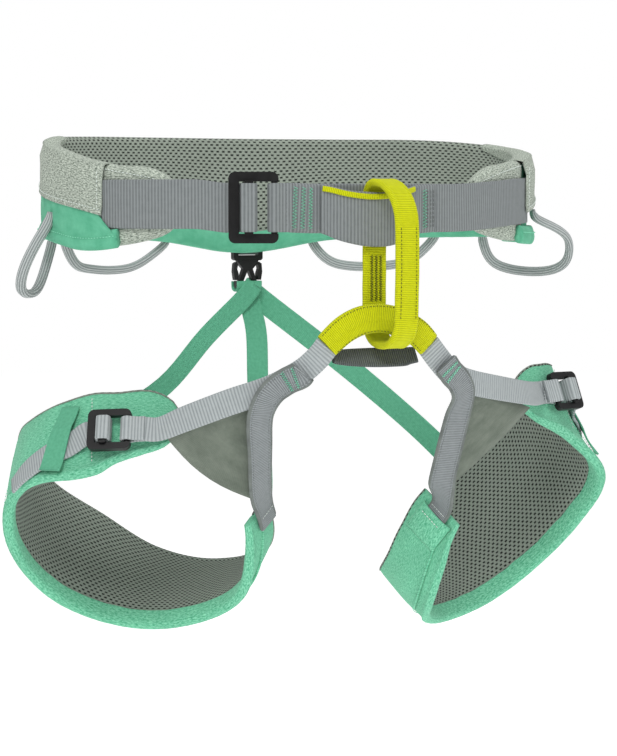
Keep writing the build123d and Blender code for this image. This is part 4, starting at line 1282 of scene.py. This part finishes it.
    # tail under its keeper
    if side == "left":
        tail = [(36, 34, 14), (44, 31, 16), (52, 29, 16), (60, 27.5, 16), (68, 26.5, 16)]
    else:
        tail = [(34, -2, 14), (42, -5, 16), (50, -7, 16), (57, -8, 16)]
    rows = [row(leg_point(side, a, shell_r + 1.6, ww), leg_across(side, a, ww), wide) for a, ww, wide in tail]
    rows.append(row(local(tail_x - 5.5, -5.4 if side == "left" else -7.2), face))
    rows.append(row(local(tail_x - 0.5, -5.9), face))
    strap(f"{side}_tail", rows[::-1], 16, 2.0, LEG_WEB, body, [f"{side}_webbing_tail"])
    keep = 65 if side == "left" else 46
    hip, knee = edges(keep)
    middle = w + 2 if side == "left" else w + 1
    rows = []
    low_end = 1.4 if knee - 3 > middle + 15 else 4.6
    for w1, lift in ((hip + 8, 0.9), (middle - 17, 2.2), (middle - 9, 3.9), (middle + 9, 3.9),
                     (middle + 17, 2.2), (knee - 2.5, low_end)):
        if hip + 2 < w1 < knee - 2:
            slant = 6 - 12 * (w1 - hip) / (knee - hip)
            spread = leg_point(side, keep + 4, shell_r, w1) - leg_point(side, keep - 4, shell_r, w1)
            rows.append(row(leg_point(side, keep + slant, shell_r + lift, w1), spread))
    strap(f"{side}_keeper", rows, 15 if side == "left" else 12, 1.3, ELASTIC, body,
          [f"{side}_elastic_keeper"])

    # cloth gusset behind the fork
    if side == "left":
        upper = [(-77, -114, -119), (-90, -107.5, -125), (-106, -98.5, -132), (-128, -83.5, -143)]
        lower = [(-78, -111, -127), (-77.5, -104.5, -139), (-74, -94, -156), (-66, -77, -187)]
        belly = 7.0
    else:
        upper = [(60, -118.5, -121), (74, -113.5, -123), (92, -106, -126), (118, -93.5, -134.5)]
        lower = [(57, -114.5, -130), (56.5, -108, -143), (56.5, -99, -161), (59, -85.5, -188)]
        belly = 2.5
    tops = [Vector(p) for p in smooth_rows(upper, 5)]
    lows = [Vector(p) for p in smooth_rows(lower, 5)]
    fork = (tops[0] + lows[0]) / 2
    bulge = ((tops[-1] + lows[-1]) / 2 - fork).normalized()
    normal = (lows[-1] - tops[-1]).cross(tops[-1] - tops[0]).normalized()
    rows, area = [], 0.0
    for i, (p, q) in enumerate(zip(tops, lows)):
        s = i / (len(tops) - 1)
        line = []
        for k in range(10):
            t = k / 9
            soft = noise.noise(Vector((s * 2.1, t * 2.3, 8.0 if side == "left" else 3.0)))
            line.append(p.lerp(q, t) + bulge * (belly * math.sin(math.pi * t) * s ** 2)
                        + normal * (1.6 * soft * math.sin(math.pi * t) * s))
        rows.append(line)
    for a, b in zip(rows[:-1], rows[1:]):
        for k in range(9):
            area += (a[k + 1] - a[k]).cross(b[k] - a[k]).length
    closed = [[p + normal * 0.45 for p in line] + [p - normal * 0.45 for p in line[::-1]] for line in rows]
    cloth = grid(f"{side}_gusset_cloth", closed, SUEDE, body, [f"{side}_gusset"])
    long_side = max((tops[-1] - tops[0]).length, (lows[-1] - lows[0]).length) * MM
    wide_side = (tops[-1] - lows[-1]).length * MM
    wide_side = max(wide_side, area * MM * MM / long_side * 1.02)


for side in ("left", "right"):
    leg_loop(side)

# ---------------------------------------------------------------- floor
bpy.ops.mesh.primitive_circle_add(vertices=96, radius=6, fill_type="NGON", location=(0, 0, -0.62))
floor = bpy.context.active_object
floor.name = "studio_floor"
material, tree, shader = graph("studio_white")
shader.inputs["Base Color"].default_value = (0.95, 0.95, 0.95, 1)
shader.inputs["Emission Color"].default_value = (1.0, 1.0, 1.0, 1.0)
shader.inputs["Emission Strength"].default_value = 0.5
shader.inputs["Roughness"].default_value = 0.9
floor.data.materials.append(material)
